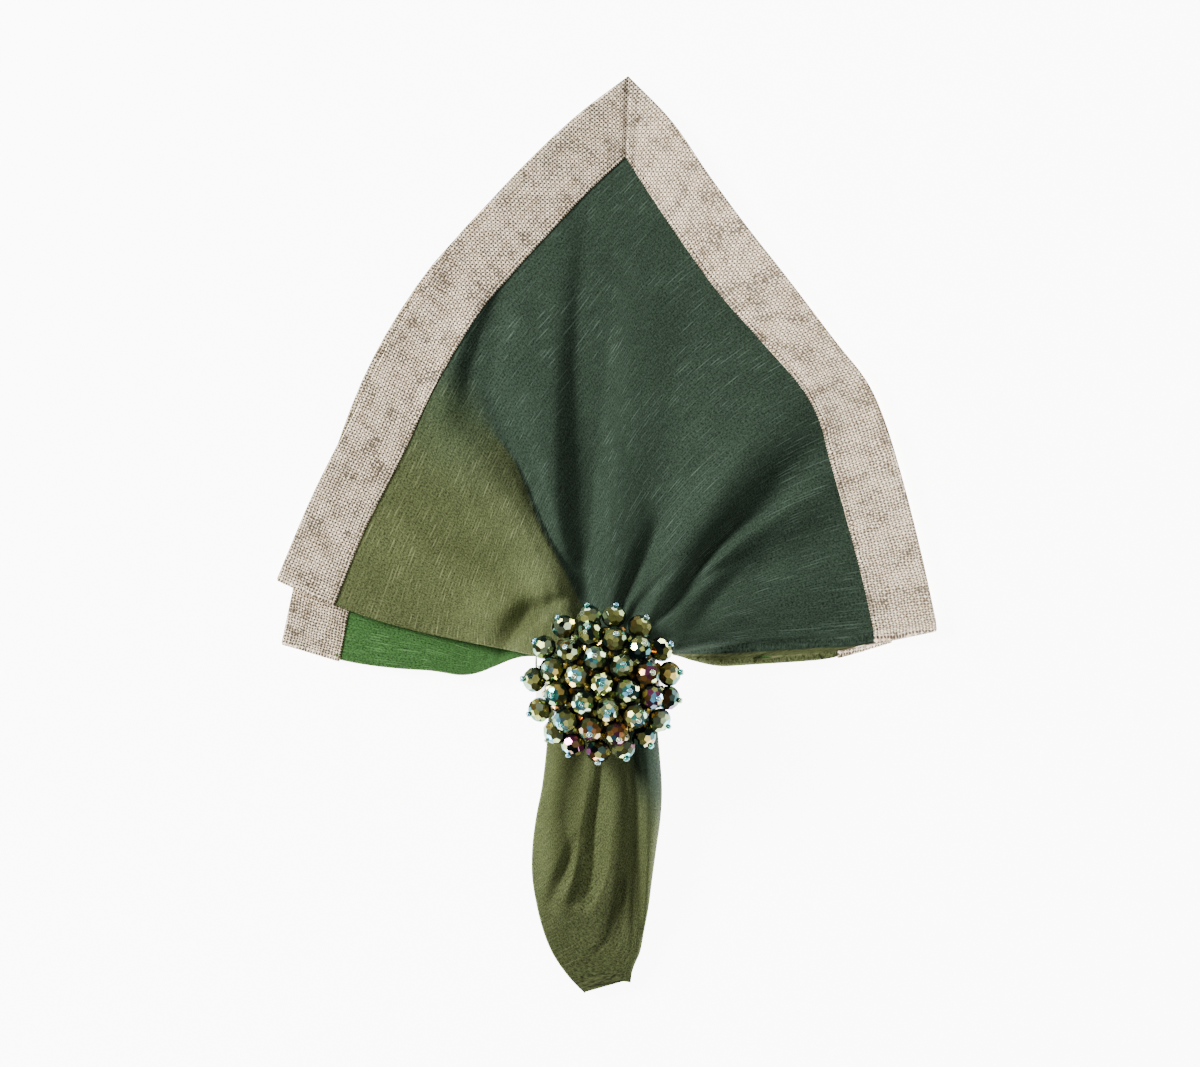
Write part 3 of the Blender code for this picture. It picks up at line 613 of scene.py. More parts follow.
def make_green(material):
    loop = np.array(section()).T
    outs = row_outs(loop[0])
    rows, count = outs.shape
    loop_grid = [np.broadcast_to(values[None, :], outs.shape) for values in loop]
    flat_s, flat_t = flat_place(loop_grid, outs)
    faces = grid_faces(rows, count, False, True)
    item = new_piece("green_sheet", from_ring(*place(loop_grid, outs, 0.0)), faces, material)
    add_map(item, "flat", flat_s.ravel(), flat_t.ravel())
    return item


def make_strip(name, start_layer, end_layer, edge, material):
    """One linen strip on the green sheet: a thin closed shell with rounded long edges."""
    loop = np.array(strip_section(start_layer, end_layer, edge)).T
    count = loop.shape[1]
    outer = 1.0 - GREEN_HAIR / HALF_SIDE
    rounded = STRIP_ROUND / BORDER_WIDTH
    shares = [0.0, rounded, *np.linspace(STRIP_INSET, 1.0 - STRIP_INSET, STRIP_ROWS - 4),
              1.0 - rounded, 1.0]
    # round the strip: share of its width, offset from the green sheet
    rings = [(share, LINEN_OFF + LINEN_THICK) for share in shares]
    rings[0] = rings[0][0], LINEN_OFF + 0.5 * LINEN_THICK
    rings[-1] = rings[-1][0], LINEN_OFF + 0.5 * LINEN_THICK
    rings += [(share, LINEN_OFF) for share in shares[-2:0:-1]]
    total = len(rings)
    outs = np.array([[mix(PANEL_SHARE, outer, share)] * count for share, _offset in rings])
    offsets = np.array([[offset] * count for _share, offset in rings])
    loop_grid = [np.broadcast_to(values[None, :], outs.shape) for values in loop]
    faces = grid_faces(total, count, True, False)
    faces.append(tuple(ring * count for ring in reversed(range(total))))
    faces.append(tuple(ring * count + count - 1 for ring in range(total)))
    item = new_piece(name, from_ring(*place(loop_grid, outs, offsets)), faces, material)
    face_out(item.data)
    for cap in item.data.polygons[-2:]:
        cap.use_smooth = False
    flat_s, flat_t = flat_place(loop_grid, outs)
    along = flat_t if edge == 0.0 else flat_s
    cross = np.array([[share * BORDER_WIDTH] * count for share, _offset in rings])
    add_map(item, "flat", flat_s.ravel(), flat_t.ravel())
    add_map(item, "strip", along.ravel(), cross.ravel())
    return item


# --- materials ---
class Wire:
    """What a node gives, with plain arithmetic on it."""

    def __init__(self, shader, socket):
        self.shader = shader
        self.socket = socket

    def __add__(self, other):
        return self.shader.math("ADD", self, other)

    def __sub__(self, other):
        return self.shader.math("SUBTRACT", self, other)

    def __mul__(self, other):
        return self.shader.math("MULTIPLY", self, other)


class Shader:
    """One material, and short ways to add nodes to it."""

    def __init__(self, name):
        self.material = bpy.data.materials.new(name)
        self.material.use_nodes = True
        self.tree = self.material.node_tree
        self.surface = self.tree.nodes["Principled BSDF"]

    def put(self, socket, value):
        if isinstance(value, Wire):
            self.tree.links.new(value.socket, socket)
        else:
            socket.default_value = value

    def node(self, kind, values, out=0, **settings):
        made = self.tree.nodes.new("ShaderNode" + kind)
        for key, value in settings.items():
            setattr(made, key, value)
        for key, value in values.items():
            self.put(made.inputs[key], value)
        return Wire(self, made.outputs[out])

    def math(self, operation, first, second=0.0):
        return self.node("Math", {0: first, 1: second}, operation=operation)

    def ramp(self, value, low, high, to_low=0.0, to_high=1.0, kind="LINEAR"):
        """Takes low to high over to to_low to to_high, in a straight line."""
        return self.node("MapRange", {"Value": value, "From Min": low, "From Max": high,
                                      "To Min": to_low, "To Max": to_high},
                         "Result", interpolation_type=kind)

    def range(self, value, low, high, to_low=0.0, to_high=1.0):
        """The same, with soft ends."""
        return self.ramp(value, low, high, to_low, to_high, "SMOOTHSTEP")

    def noise(self, vector, scale, detail=2.0, roughness=0.5):
        return self.node("TexNoise", {"Vector": vector, "Scale": scale, "Detail": detail,
                                      "Roughness": roughness}, "Fac")

    def blend(self, share, first, second):
        return self.node("Mix", {0: share, 6: first, 7: second}, 2, data_type="RGBA")

    def bright(self, colour, factor):
        """A colour made brighter or darker by a number."""
        return self.node("VectorMath", {0: colour, "Scale": factor}, operation="SCALE")

    def vector(self, x, y, z=0.0):
        return self.node("CombineXYZ", {"X": x, "Y": y, "Z": z})

    def parts(self, vector):
        """A vector's three numbers."""
        made = self.node("SeparateXYZ", {"Vector": vector}).socket.node
        return [Wire(self, socket) for socket in made.outputs]

    def map(self, name):
        """A UV map's two numbers."""
        return self.parts(self.node("UVMap", {}, uv_map=name))[:2]

    def spot(self):
        return self.node("TexCoord", {}, "Object")

    def bump(self, height, strength, distance):
        return self.node("Bump", {"Height": height, "Strength": strength, "Distance": distance})

    def set(self, values):
        for key, value in values.items():
            self.put(self.surface.inputs[key], value)
        return self.material


DARK_GREEN = (0.0252, 0.0412, 0.0268, 1.0)
OLIVE = (0.0715, 0.0855, 0.0325, 1.0)
BRIGHT_GREEN = (0.0365, 0.0945, 0.0250, 1.0)
MID_GREEN = (0.038, 0.059, 0.0285, 1.0)
DARK_SLUB = (0.130, 0.190, 0.145, 1.0)
OLIVE_SLUB = (0.300, 0.320, 0.150, 1.0)
BRIGHT_SLUB = (0.160, 0.330, 0.120, 1.0)
WHITE = (1.0, 1.0, 1.0, 1.0)

# s and t are millimetres on the flat napkin, from its middle
GRAIN_SCALE = 1.3                   # per millimetre
GRAIN_DARK, GRAIN_LIGHT = 0.16, 1.78
WARP_STRENGTH = 0.16
BROAD_STRENGTH = 0.08
TIP_PAINTED_SHADE = 0.74                    # painted shade: how dark the napkin's middle is painted, where the tail's tip faces away from the key light, and how far out that goes
TIP_PAINTED_SHADE_FROM, TIP_PAINTED_SHADE_TO = 28.0, 84.0
SLUB_PITCH = 1.25                   # between two threads that can show as slubs
SLUB_HALF = 0.26                    # half a slub's width as a share of the pitch
SLUB_IN_TAIL, SLUB_IN_FAN = 0.16, 0.48
SLUB_FAINT = 0.14                   # how much of a thread shows where it isn't a slub
LANE_STRIDE = 5.17                  # far enough along the noise that no two lanes are alike
CLOTH_SPECULAR = 0.06
GREEN_RELIEF = 0.00014              # how high the weave stands, in metres
OMBRE_MIDDLE = 80.0                 # the t where the olive has half turned to dark green
OMBRE_HALF = 16.0                   # and half the length over which it turns
# how each of them changes: from s, to s | by how much
MIDDLE_MOVES = [(40.0, 58.0, 13.0), (165.0, 205.0, 10.0)]
HALF_GROWS = [(70.0, 130.0, -14.0), (203.0, 240.0, 17.0)]


def stepped(shader, s, value, steps):
    for low, high, change in steps:
        value = shader.range(s, low, high) * change + value
    return value


def ombre(shader, flat, s, t):
    """How far the olive has turned to dark green: slowly in the tail, then at a sharp line."""
    middle = stepped(shader, s, OMBRE_MIDDLE, MIDDLE_MOVES)
    half = stepped(shader, s, OMBRE_HALF, HALF_GROWS)
    wander = shader.noise(flat, 0.02)
    moved = (wander - 0.5) * (half * 0.8) + t
    turned = shader.range(moved, middle - half, middle + half)
    return shader.math("MAXIMUM", turned, shader.range(t, 40.0, 100.0, 0.0, 0.26))


def green_material():
    """Slubbed cotton and linen, shaded from olive to dark green, bright green on one quarter."""
    shader = Shader("green_cloth_woven")
    s, t = shader.map("flat")
    flat = shader.vector(s, t)
    # the dark green ends at the fold, a little under it near the ring
    fold_line = shader.range(t, 112.0, 150.0, -1.9, 0.9) - shader.range(t, 214.0, 232.0, 0.0, 0.5)
    dark = ombre(shader, flat, s, t) * shader.range(s, fold_line - 0.5, fold_line)
    lively = shader.range(t, -0.2, -1.2) * shader.range(s, -1.0, -4.0)
    greener = shader.range(s, 190.0, 230.0, 0.0, 0.8) * shader.range(t, 58.0, 108.0)
    olive = shader.blend(greener, OLIVE, MID_GREEN)
    colour = shader.blend(lively, shader.blend(dark, olive, DARK_GREEN), BRIGHT_GREEN)
    slub_colour = shader.blend(lively, shader.blend(dark, OLIVE_SLUB, DARK_SLUB), BRIGHT_SLUB)
    across_lines = lively * (t - s) + s
    along_lines = lively * (s - t) + t
    # grain, warp and broad shade
    grain = shader.noise(flat, GRAIN_SCALE, 2.0, 0.9)
    warp = shader.noise(shader.vector(across_lines * 1.6, along_lines * 0.10), 1.0, 1.0)
    broad = shader.noise(flat, 0.05)
    factor = shader.ramp(grain, 0.32, 0.68, GRAIN_DARK, GRAIN_LIGHT)
    factor += shader.ramp(warp, 0.32, 0.68, -WARP_STRENGTH, WARP_STRENGTH)
    factor *= shader.ramp(broad, 0.3, 0.7, 1.0 - BROAD_STRENGTH, 1.0 + BROAD_STRENGTH)
    from_middle = shader.math("SQRT", s * s + t * t)
    # painted shade towards the napkin's middle, the tail's tip, which faces away from the key light
    factor *= shader.range(from_middle, TIP_PAINTED_SHADE_FROM, TIP_PAINTED_SHADE_TO, TIP_PAINTED_SHADE, 1.0)
    colour = shader.bright(colour, factor)
    # slubs: threads in even lanes, each picked out here and there
    bend = shader.noise(shader.vector(across_lines * 0.3, along_lines * 0.04, 5.0), 1.0, 0.0)
    lane = across_lines * (1.0 / SLUB_PITCH) + bend
    number = shader.math("FLOOR", lane)
    thread = shader.range(shader.math("ABSOLUTE", lane - number - 0.5), SLUB_HALF, 0.05)
    pick = shader.noise(shader.vector(number * LANE_STRIDE, along_lines * 0.10, 3.0), 1.0, 1.0)
    patch = shader.noise(shader.vector(s, t, 11.0), 0.045)
    slub = thread * (shader.range(pick, 0.50, 0.70, SLUB_FAINT, 1.0)
                     * shader.ramp(patch, 0.38, 0.60, 0.25, 1.0))
    strength = shader.range(from_middle, 70.0, 190.0, SLUB_IN_TAIL, SLUB_IN_FAN)
    return shader.set({
        "Base Color": shader.blend(slub * strength, colour, slub_colour),
        "Roughness": shader.ramp(grain, 0.2, 0.8, 0.82, 0.96),
        "Normal": shader.bump(slub * 0.5 + grain, 0.5, GREEN_RELIEF),
        "Specular IOR Level": CLOTH_SPECULAR})


LINEN_THREAD = (1.00, 0.83, 0.61, 1.0)
LINEN_TAN = (0.72, 0.55, 0.37, 1.0)
# painted shade in the weave's gaps and in the stitch holes
LINEN_HOLE_SHADE = (0.052, 0.040, 0.027, 1.0)
THREAD_S, THREAD_T = 1.10, 1.16     # from thread to thread, in millimetres
WANDER, WANDER_SCALE = 2.2, 0.11    # how far the threads wander, and how often
UNDER_PAINTED_SHADE, OVER_PAINTED_LIGHT = 0.70, 1.42  # painted shade on a thread that runs under the one it crosses, and painted light on one that runs over it
LINEN_RELIEF = 0.00022
STITCH = 2.1                        # from stitch hole to stitch hole
STITCH_IN = 1.4                     # how far the row of holes is from the seam
PORE_DARK = 0.96                    # painted shade: how dark the gaps in the weave are painted
# painted light: the strips at the right slope away from the main light, so there the linen is painted
# this much paler, and its gaps are this dark
RIGHT_PAINTED_LIGHT = 1.30
RIGHT_PORE = 0.90


def linen_material():
    """Open plain linen weave with a line of stitch holes along the seam."""
    shader = Shader("linen_plain_weave")
    s, t = shader.map("flat")
    along, cross = shader.map("strip")
    s_moved = shader.noise(shader.vector(s, t), WANDER_SCALE) * WANDER + s
    t_moved = shader.noise(shader.vector(t, s, 5.0), WANDER_SCALE) * WANDER + t

    def wave(value, length):
        return shader.math("COSINE", value * (2.0 * math.pi / length))

    gap = (wave(s_moved, THREAD_S) * -0.5 + 0.5) * (wave(t_moved, THREAD_T) * -0.5 + 0.5)
    openness = shader.noise(shader.vector(s, t, 3.0), 0.16, 3.0)
    ragged = shader.noise(shader.vector(s, t, 8.0), 0.9)
    loose = (shader.ramp(openness, 0.34, 0.66, -0.10, 0.13)
             + shader.ramp(ragged, 0.3, 0.7, -0.15, 0.15))
    pore = shader.range(gap + loose, 0.08, 0.30)
    warp = shader.noise(shader.vector(s, t * 0.045), 1.0)
    weft = shader.noise(shader.vector(s * 0.045, t, 9.0), 1.0)
    uneven = warp + weft
    colour = shader.blend(shader.range(uneven, 0.78, 1.16), LINEN_TAN, LINEN_THREAD)
    # painted light and shade of the weave: threads running over are painted lighter, threads running
    # under darker
    over = wave(s_moved, 2.0 * THREAD_S) * wave(t_moved, 2.0 * THREAD_T)
    colour = shader.bright(colour, shader.ramp(over, -0.8, 0.8, UNDER_PAINTED_SHADE, OVER_PAINTED_LIGHT))
    # painted light on the strips at the right, which slope away from the main light
    right = shader.range(shader.math("ABSOLUTE", t) - shader.math("ABSOLUTE", s), -0.5, 0.5)
    colour = shader.bright(colour, shader.range(right, 0.0, 1.0, 1.0, RIGHT_PAINTED_LIGHT))
    gap_shade_share = shader.range(right, 0.0, 1.0, PORE_DARK, RIGHT_PORE)
    # painted shade in the gaps of the weave
    colour = shader.blend(pore * gap_shade_share, colour, LINEN_HOLE_SHADE)
    stitch_row = shader.range(shader.math("ABSOLUTE", cross - STITCH_IN), 0.6, 0.25)
    hole = stitch_row * shader.range(wave(along, STITCH), 0.1, 0.8)
    hole = shader.math("MAXIMUM", hole, shader.range(cross, 0.45, 0.0) * 0.3)
    height = uneven * 0.3 + (hole * -1.5 + (pore * -1.0 + 1.0))
    return shader.set({
        # the stitch holes are painted dark as shade, and the linen is darker along the seam
        "Base Color": shader.blend(hole * 0.8, colour, LINEN_HOLE_SHADE),
        "Roughness": shader.ramp(uneven, 0.7, 1.3, 0.95, 0.85),
        "Normal": shader.bump(height, 0.7, LINEN_RELIEF),
        "Specular IOR Level": CLOTH_SPECULAR})


def band_material():
    """Brushed metal, fine lines round the band."""
    shader = Shader("band_brushed_metal")
    spot = shader.spot()
    x, y, z = shader.parts(spot)
    lines = shader.noise(shader.vector(x * 30.0, y * 5200.0, z * 30.0), 1.0, 3.0)
    wear = shader.noise(spot, 260.0, 3.0)
    return shader.set({
        "Base Color": shader.blend(wear, (0.42, 0.41, 0.39, 1.0), (0.55, 0.53, 0.50, 1.0)),
        "Metallic": 1.0,
        "Roughness": lines * 0.2 + 0.22,
        "Normal": shader.bump(lines, 0.15, 0.00003)})


def dome_material():
    """Dark plated metal with small dents all over."""
    shader = Shader("dome_dark_metal")
    spot = shader.spot()
    cells = shader.node("TexVoronoi", {"Vector": spot, "Scale": 420.0}, "Distance")
    wear = shader.noise(spot, 190.0, 3.0)
    return shader.set({
        "Base Color": shader.blend(wear, (0.006, 0.008, 0.006, 1.0), (0.020, 0.024, 0.018, 1.0)),
        "Metallic": 0.2,
        "Roughness": wear * 0.25 + 0.5,
        "Normal": shader.bump(shader.range(cells, 0.1, 0.5), 0.4, 0.0003)})


FILM_TINT = (0.05, 0.30, 0.34, 1.0)  # the coating's colour seen at a slant
EDGE_TINT = (0.22, 0.42, 0.46, 1.0)  # and along the bead's rim
FILM_SHARE = 0.35
RIM_PAINTED_SHADE = 0.16                    # painted shade: how dark the glass is painted at its rim


def glass_material(name, rough):
    """Faceted glass with a metal coating, tinted facet by facet, and painted darker at its rim as
    shade.
    """
    shader = Shader(name)
    tint = shader.node("Attribute", {}, "Color", attribute_name="facet")
    cloud = shader.noise(shader.spot(), 420.0)
    colour = shader.bright(tint, shader.ramp(cloud, 0.3, 0.7, 0.8, 1.25))
    facing = shader.node("LayerWeight", {"Blend": 0.5}, "Facing")
    film = shader.blend(FILM_SHARE, colour, FILM_TINT)
    colour = shader.blend(shader.range(facing, 0.25, 0.50, 0.0, 0.8), colour, film)
    return shader.set({
        # painted shade towards the bead's rim
        "Base Color": shader.bright(colour, shader.range(facing, 0.42, 0.72, 1.0, RIM_PAINTED_SHADE)),
        "Metallic": 0.9,
        "Roughness": rough,
        "Specular Tint": EDGE_TINT,
        "Coat Weight": 0.2,
        "Coat Roughness": 0.03})


def wire_material():
    shader = Shader("silver_wire")
    wear = shader.noise(shader.spot(), 900.0)
    return shader.set({
        "Base Color": shader.blend(wear, (0.42, 0.42, 0.40, 1.0), (0.62, 0.61, 0.58, 1.0)),
        "Metallic": 1.0,
        "Roughness": wear * 0.2 + 0.2})


FLOOR_GLOW = 9.0


def floor_material():
    shader = Shader("pale_floor")
    soft = shader.noise(shader.spot(), 3.0)
    return shader.set({
        "Base Color": shader.blend(soft, (0.90, 0.90, 0.90, 1.0), (0.93, 0.93, 0.93, 1.0)),
        "Roughness": 0.9,
        "Specular IOR Level": 0.1,
        "Emission Color": WHITE,
        "Emission Strength": FLOOR_GLOW})


# --- beads ---
BEAD_COUNT = 35
BEAD_LENGTH = 8.7
BEAD_RADIUS = 4.55
BEAD_ROUGH, SEED_ROUGH = 0.07, 0.12
BEAD_ROOT = 20.0                    # every bead points away from a place this far under the dome
SEED_RADIUS = 0.95
SEED_LENGTH = 1.5
SEED_THICK = 0.3844                 # half a seed's wall as a share of its radius
SEED_SIDES, SEED_RINGS = 10, 6
STEM_RADIUS = 0.3
STEM_SIDES = 8
STEM_BELOW = 1.2                    # how far a stem goes on under its bead
WIRE_LOOP_X = 25.8                  # the wire that shows between two beads at the left
WIRE_LOOP_LOW, WIRE_LOOP_HIGH = 3.0, 13.0
WIRE_LOOP_Z = 24.0
# rows of cut faces: angle above the bead's waist | how many | turned by this share of one face
FACET_ROWS = [
    (15.0, 9, 0.0),
    (-15.0, 9, 0.5),
    (43.0, 9, 0.5),
    (-43.0, 9, 0.0),
    (68.0, 6, 0.0),
    (-68.0, 6, 0.5),
    (90.0, 1, 0.0),
    (-90.0, 1, 0.0),
]
FACET_UNEVEN = 0.02                 # how much deeper or shallower a face is cut
# coated glass: name | red, green, blue
GLASS = {
    "gold_green": (0.46, 0.48, 0.14),
    "gold": (0.60, 0.44, 0.11),
    "sage": (0.38, 0.47, 0.27),
    "steel": (0.26, 0.42, 0.42),
    "sky": (0.16, 0.44, 0.64),
    "olive": (0.18, 0.20, 0.05),
    "black": (0.010, 0.020, 0.015),
    "copper": (0.50, 0.20, 0.06),
    "bronze": (0.26, 0.13, 0.03),
    "plum": (0.24, 0.06, 0.14),
    "teal": (0.08, 0.38, 0.33),
}
COOL = ("gold_green", "gold_green", "sage", "sage", "olive", "gold_green", "gold", "olive",
        "black")
COOL_TIP = ("sky", "steel", "sage", "teal", "gold_green")
WARM = ("copper", "bronze", "plum", "gold", "olive", "black", "gold_green", "bronze", "black")
WARM_TIP = ("plum", "gold", "copper", "sky")
WARM_FROM = 14.0                    # warm beads are this far out, at the right and in front
WARM_BEARINGS = (-120.0, 35.0)
WARM_SHARE = 0.62
TIP_FACING = 0.7                    # how squarely a facet faces along the bead to count as its tip
LEAN_SHARE = 0.35                   # of a bead's facets that have its own tint
# painted reflection: this share of the facets is painted brighter, as glints, and the rest darker, as
# dark reflections, over the coating's tints
PAINTED_GLINT_SHARE = 0.48
PAINTED_GLINT_POWERS = (1.0, 1.7)
PAINTED_DARK_POWERS = (0.22, 0.9)
SEED_TINTS = ("teal", "sky", "teal", "sage", "steel")
GAP_TINTS = ("gold", "gold_green", "olive", "gold", "bronze")
GAP_POWERS = (0.5, 1.5)
GAP_REACH = 13.6                    # three beads no further apart than this have one between
GAP_SINK = 1.2                      # how far it lies below the middle of the three
GAP_RADIUS = 1.7


def bead_axes():
    """Number, middle and long direction of every bead, read from the solids' places."""
    axes = []
    dome_low, dome_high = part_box("ring_dome")
    dome_centre = (dome_low + dome_high) / 2.0
    root = Vector((dome_centre.x, dome_centre.y, dome_low.z - BEAD_ROOT * MM))
    for number in range(1, BEAD_COUNT + 1):
        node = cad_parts[f"bead_{number:02d}"]
        corners = np.array([vertex.co[:] for vertex in node.data.vertices])
        centre = corners.mean(axis=0)
        axis = Vector(np.linalg.svd(corners - centre, full_matrices=False)[2][0])
        if axis.dot(Vector(centre) - root) < 0.0:
            axis = -axis
        axes.append((number, Vector(centre), axis.normalized()))
    return axes


def tint_faces(mesh, tint_of):
    colours = mesh.color_attributes.new("facet", "FLOAT_COLOR", "CORNER")
    for face in mesh.polygons:
        tint = tint_of(face)
        for corner in face.loop_indices:
            colours.data[corner].color = (*tint, 1.0)


def glass_piece(name, work, material, tint_of):
    """An object of cut glass, tinted face by face."""
    mesh = bpy.data.meshes.new(name)
    work.to_mesh(mesh)
    work.free()
    mesh.shade_flat()
    mesh.materials.append(material)
    tint_faces(mesh, tint_of)
    return link(name, mesh)


def cut_bead(name, centre, axis, spin, warm, material, rng):
    """A round bead cut to flat faces."""
    work = bmesh.new()
    bmesh.ops.create_icosphere(work, subdivisions=2, radius=1.4)
    for degrees, count, shift in FACET_ROWS:
        angle = math.radians(degrees)
        for index in range(count):
            bearing = 2.0 * math.pi * (index + shift) / count + spin if count > 1 else 0.0
            normal = Vector((math.cos(angle) * math.cos(bearing),
                             math.cos(angle) * math.sin(bearing), math.sin(angle)))
            uneven = rng.random() - 0.5
            reach = 1.0 + FACET_UNEVEN * (uneven if count > 1 else 1.0)
            cut = bmesh.ops.bisect_plane(work, geom=work.verts[:] + work.edges[:] + work.faces[:],
                                         plane_co=normal * reach, plane_no=normal,
                                         clear_outer=True)
            edges = [item for item in cut["geom_cut"] if isinstance(item, bmesh.types.BMEdge)]
            if edges:
                bmesh.ops.contextual_create(work, geom=edges)
    stretch = Matrix.Diagonal((BEAD_RADIUS * MM, BEAD_RADIUS * MM, BEAD_LENGTH / 2.0 * MM, 1.0))
    turn = axis.to_track_quat("Z", "Y").to_matrix().to_4x4()
    work.transform(Matrix.Translation(centre) @ turn @ stretch)
    bmesh.ops.recalc_face_normals(work, faces=work.faces)
    body = WARM if warm else COOL
    tip = WARM_TIP if warm else COOL_TIP
    lean = rng.choice(body)

    def tint_of(face):
        if face.normal.dot(axis) > TIP_FACING:
            pick = GLASS[rng.choice(tip)]
        else:
            pick = GLASS[lean] if rng.random() < LEAN_SHARE else GLASS[rng.choice(body)]
        # painted reflection: the facet's tint is painted brighter as a glint or darker as a dark
        # reflection
        powers = PAINTED_GLINT_POWERS if rng.random() < PAINTED_GLINT_SHARE else PAINTED_DARK_POWERS
        power = mix(*powers, rng.random())
        return [min(1.0, part * power) for part in pick]

    return glass_piece(name, work, material, tint_of)


def tube(points, faces, start, end):
    """Adds a thin straight wire between two places in metres."""
    direction = (end - start).normalized()
    side = direction.orthogonal()
    up = direction.cross(side)
    first = len(points)
    for middle in (start, end):
        for step in range(STEM_SIDES):
            angle = 2.0 * math.pi * step / STEM_SIDES
            points.append(middle + (side * math.cos(angle) + up * math.sin(angle))
                          * STEM_RADIUS * MM)
    faces.extend(grid_faces(2, STEM_SIDES, False, True, first))
    faces.append(tuple(reversed(range(first, first + STEM_SIDES))))
    faces.append(tuple(range(first + STEM_SIDES, first + 2 * STEM_SIDES)))


def seed(points, faces, centre, axis):
    """Adds a small round seed bead with its hole."""
    side = axis.orthogonal()
    up = axis.cross(side)
    first = len(points)
    half_thick = SEED_RADIUS * SEED_THICK * MM
    middle = SEED_RADIUS * MM - half_thick
    for step in range(SEED_SIDES):
        angle = 2.0 * math.pi * step / SEED_SIDES
        around = side * math.cos(angle) + up * math.sin(angle)
        for ring in range(SEED_RINGS):
            turn = 2.0 * math.pi * ring / SEED_RINGS
            points.append(centre + around * (middle + half_thick * math.cos(turn))
                          + axis * (SEED_LENGTH / 2.0 * MM) * math.sin(turn))
    for step in range(SEED_SIDES):
        low = first + step * SEED_RINGS
        high = first + (step + 1) % SEED_SIDES * SEED_RINGS
        for ring in range(SEED_RINGS):
            after = (ring + 1) % SEED_RINGS
            faces.append((low + ring, high + ring, high + after, low + after))


def make_gap_beads(axes, material, rng):
    """Small cut beads that fill the gaps where three big ones meet."""
    work = bmesh.new()
    picks = []
    for group in itertools.combinations(axes, 3):
        sides = [(group[index][1] - group[index - 1][1]).length / MM for index in range(3)]
        if max(sides) > GAP_REACH:
            continue
        middle = (group[0][1] + group[1][1] + group[2][1]) / 3.0
        axis = (group[0][2] + group[1][2] + group[2][2]).normalized()
        turn = Matrix.Rotation(rng.random() * 3.0, 4, axis)
        place_at = Matrix.Translation(middle - axis * GAP_SINK * MM) @ turn
        made = bmesh.ops.create_icosphere(work, subdivisions=1, radius=GAP_RADIUS * MM,
                                          matrix=place_at)
        faces = {face for vertex in made["verts"] for face in vertex.link_faces}
        picks.extend([rng.choice(GAP_TINTS)] * len(faces))

    def tint_of(face):
        power = mix(*GAP_POWERS, rng.random())
        return [part * power for part in GLASS[picks[face.index]]]

    item = glass_piece("gap_beads", work, material, tint_of)
    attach(item, "root")


def make_beads():
    rng = random.Random(7)
    glass = glass_material("bead_coated_glass", BEAD_ROUGH)
    seed_glass = glass_material("seed_coated_glass", SEED_ROUGH)
    seeds = ([], [])                # points, faces
    stems = ([], [])
    axes = bead_axes()
    make_gap_beads(axes, seed_glass, random.Random(3))
    for number, centre, axis in axes:
        name = f"bead_{number:02d}"
        bearing = math.degrees(math.atan2(centre.y - RING.y, centre.x - RING.x))
        from_centre = math.hypot(centre.y - RING.y, centre.x - RING.x) / MM
        warm = (from_centre > WARM_FROM and WARM_BEARINGS[0] < bearing < WARM_BEARINGS[1]
                and rng.random() < WARM_SHARE)
        bead = cut_bead("glass_" + name, centre, axis, rng.random() * 3.0, warm, glass, rng)
        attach(bead, "root")
        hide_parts(name)
        tip = centre + axis * (BEAD_LENGTH / 2.0 + SEED_LENGTH * 0.42) * MM
        seed(*seeds, tip, axis)
        tube(*stems, centre - axis * (BEAD_LENGTH / 2.0 + STEM_BELOW) * MM,
             tip + axis * SEED_LENGTH * 0.45 * MM)
    loop_x = RING.x - WIRE_LOOP_X * MM
    tube(*stems, Vector((loop_x, RING.y + WIRE_LOOP_LOW * MM, WIRE_LOOP_Z * MM)),
         Vector((loop_x, RING.y + WIRE_LOOP_HIGH * MM, WIRE_LOOP_Z * MM)))
    seed_item = new_piece("seed_beads", *seeds, seed_glass)
    face_out(seed_item.data)
    per_seed = SEED_SIDES * SEED_RINGS
    picks = [GLASS[rng.choice(SEED_TINTS)] for _bead in axes]
    tint_faces(seed_item.data, lambda face: picks[face.index // per_seed])
    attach(seed_item, "root")
    stem_item = new_piece("bead_stems", *stems, wire_material())
    face_out(stem_item.data)
    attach(stem_item, "root")


# --- camera, light and floor ---
PICTURE_WIDTH = 474.0               # millimetres of table across the picture
PICTURE_MIDDLE = (-0.8, 58.3)       # from the ring's middle
CAMERA_HEIGHT = 2.6
SENSOR = 36.0
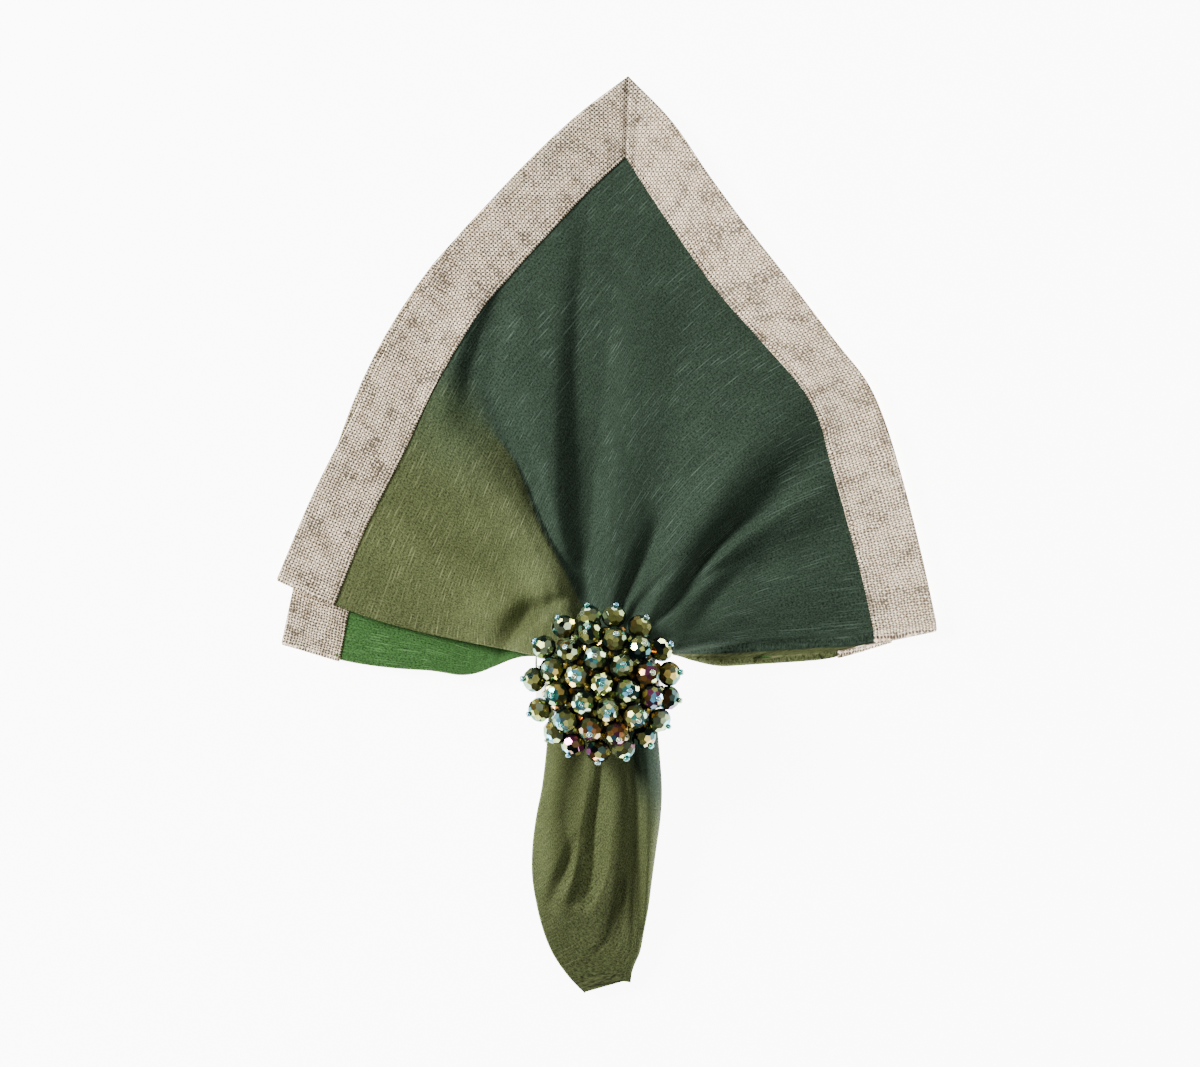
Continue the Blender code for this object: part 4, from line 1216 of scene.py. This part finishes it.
# name | place x, y, z in metres | size in metres | power in watts
LIGHTS = [
    ("key", (-1.90, 0.86, 1.43), 0.9, 143.0),
    ("fill", (0.95, -0.25, 1.35), 1.2, 8.6),
    ("top", (0.1, 0.95, 1.5), 1.0, 4.5),
    ("low", (0.0, -1.1, 1.1), 0.9, 2.8),
]
WORLD_STRENGTH = 0.225
FLOOR_HALF = 3.0


def make_camera():
    data = bpy.data.cameras.new("camera")
    data.sensor_width = SENSOR
    data.lens = SENSOR * (CAMERA_HEIGHT / MM) / PICTURE_WIDTH
    data.clip_end = 20.0
    camera = link("camera", data)
    camera.location = ((RING_X + PICTURE_MIDDLE[0]) * MM, (RING_Y + PICTURE_MIDDLE[1]) * MM,
                       CAMERA_HEIGHT)
    bpy.context.scene.camera = camera


def make_lights():
    for name, where, size, power in LIGHTS:
        data = bpy.data.lights.new(name, "AREA")
        data.shape = "SQUARE"
        data.size = size
        data.energy = power
        item = link(name, data)
        item.location = where
        item.rotation_mode = "QUATERNION"
        item.rotation_quaternion = (-Vector(where)).to_track_quat("-Z", "Y")
    world = bpy.data.worlds.new("studio")
    world.use_nodes = True
    back = world.node_tree.nodes["Background"]
    back.inputs[0].default_value = WHITE
    back.inputs[1].default_value = WORLD_STRENGTH
    bpy.context.scene.world = world


def make_floor():
    mesh = bpy.data.meshes.new("floor")
    low, high = -FLOOR_HALF, FLOOR_HALF
    mesh.from_pydata([(low, low, 0.0), (high, low, 0.0), (high, high, 0.0), (low, high, 0.0)],
                     [], [(0, 1, 2, 3)])
    mesh.materials.append(floor_material())
    link("floor", mesh)


# --- build ---
# solid | first layer, last layer, fold edge between them
STRIPS = [
    ("linen_top_left", 0, 1, 0.0),
    ("linen_top_right", 0, 3, 1.0),
    ("linen_low_left", 2, 3, 0.0),
    ("linen_low_right", 1, 2, 1.0),
]


def build():
    make_camera()
    make_lights()
    make_floor()
    green = make_green(green_material())
    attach(green, "root")
    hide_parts("green_cloth")
    linen = linen_material()
    for node, start_layer, end_layer, edge in STRIPS:
        strip = make_strip(node + "_strip", start_layer, end_layer, edge, linen)
        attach(strip, "root")
        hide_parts(node)
    make_beads()
    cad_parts["ring_band"].material_slots[0].material = band_material()
    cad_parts["ring_dome"].material_slots[0].material = dome_material()


build()
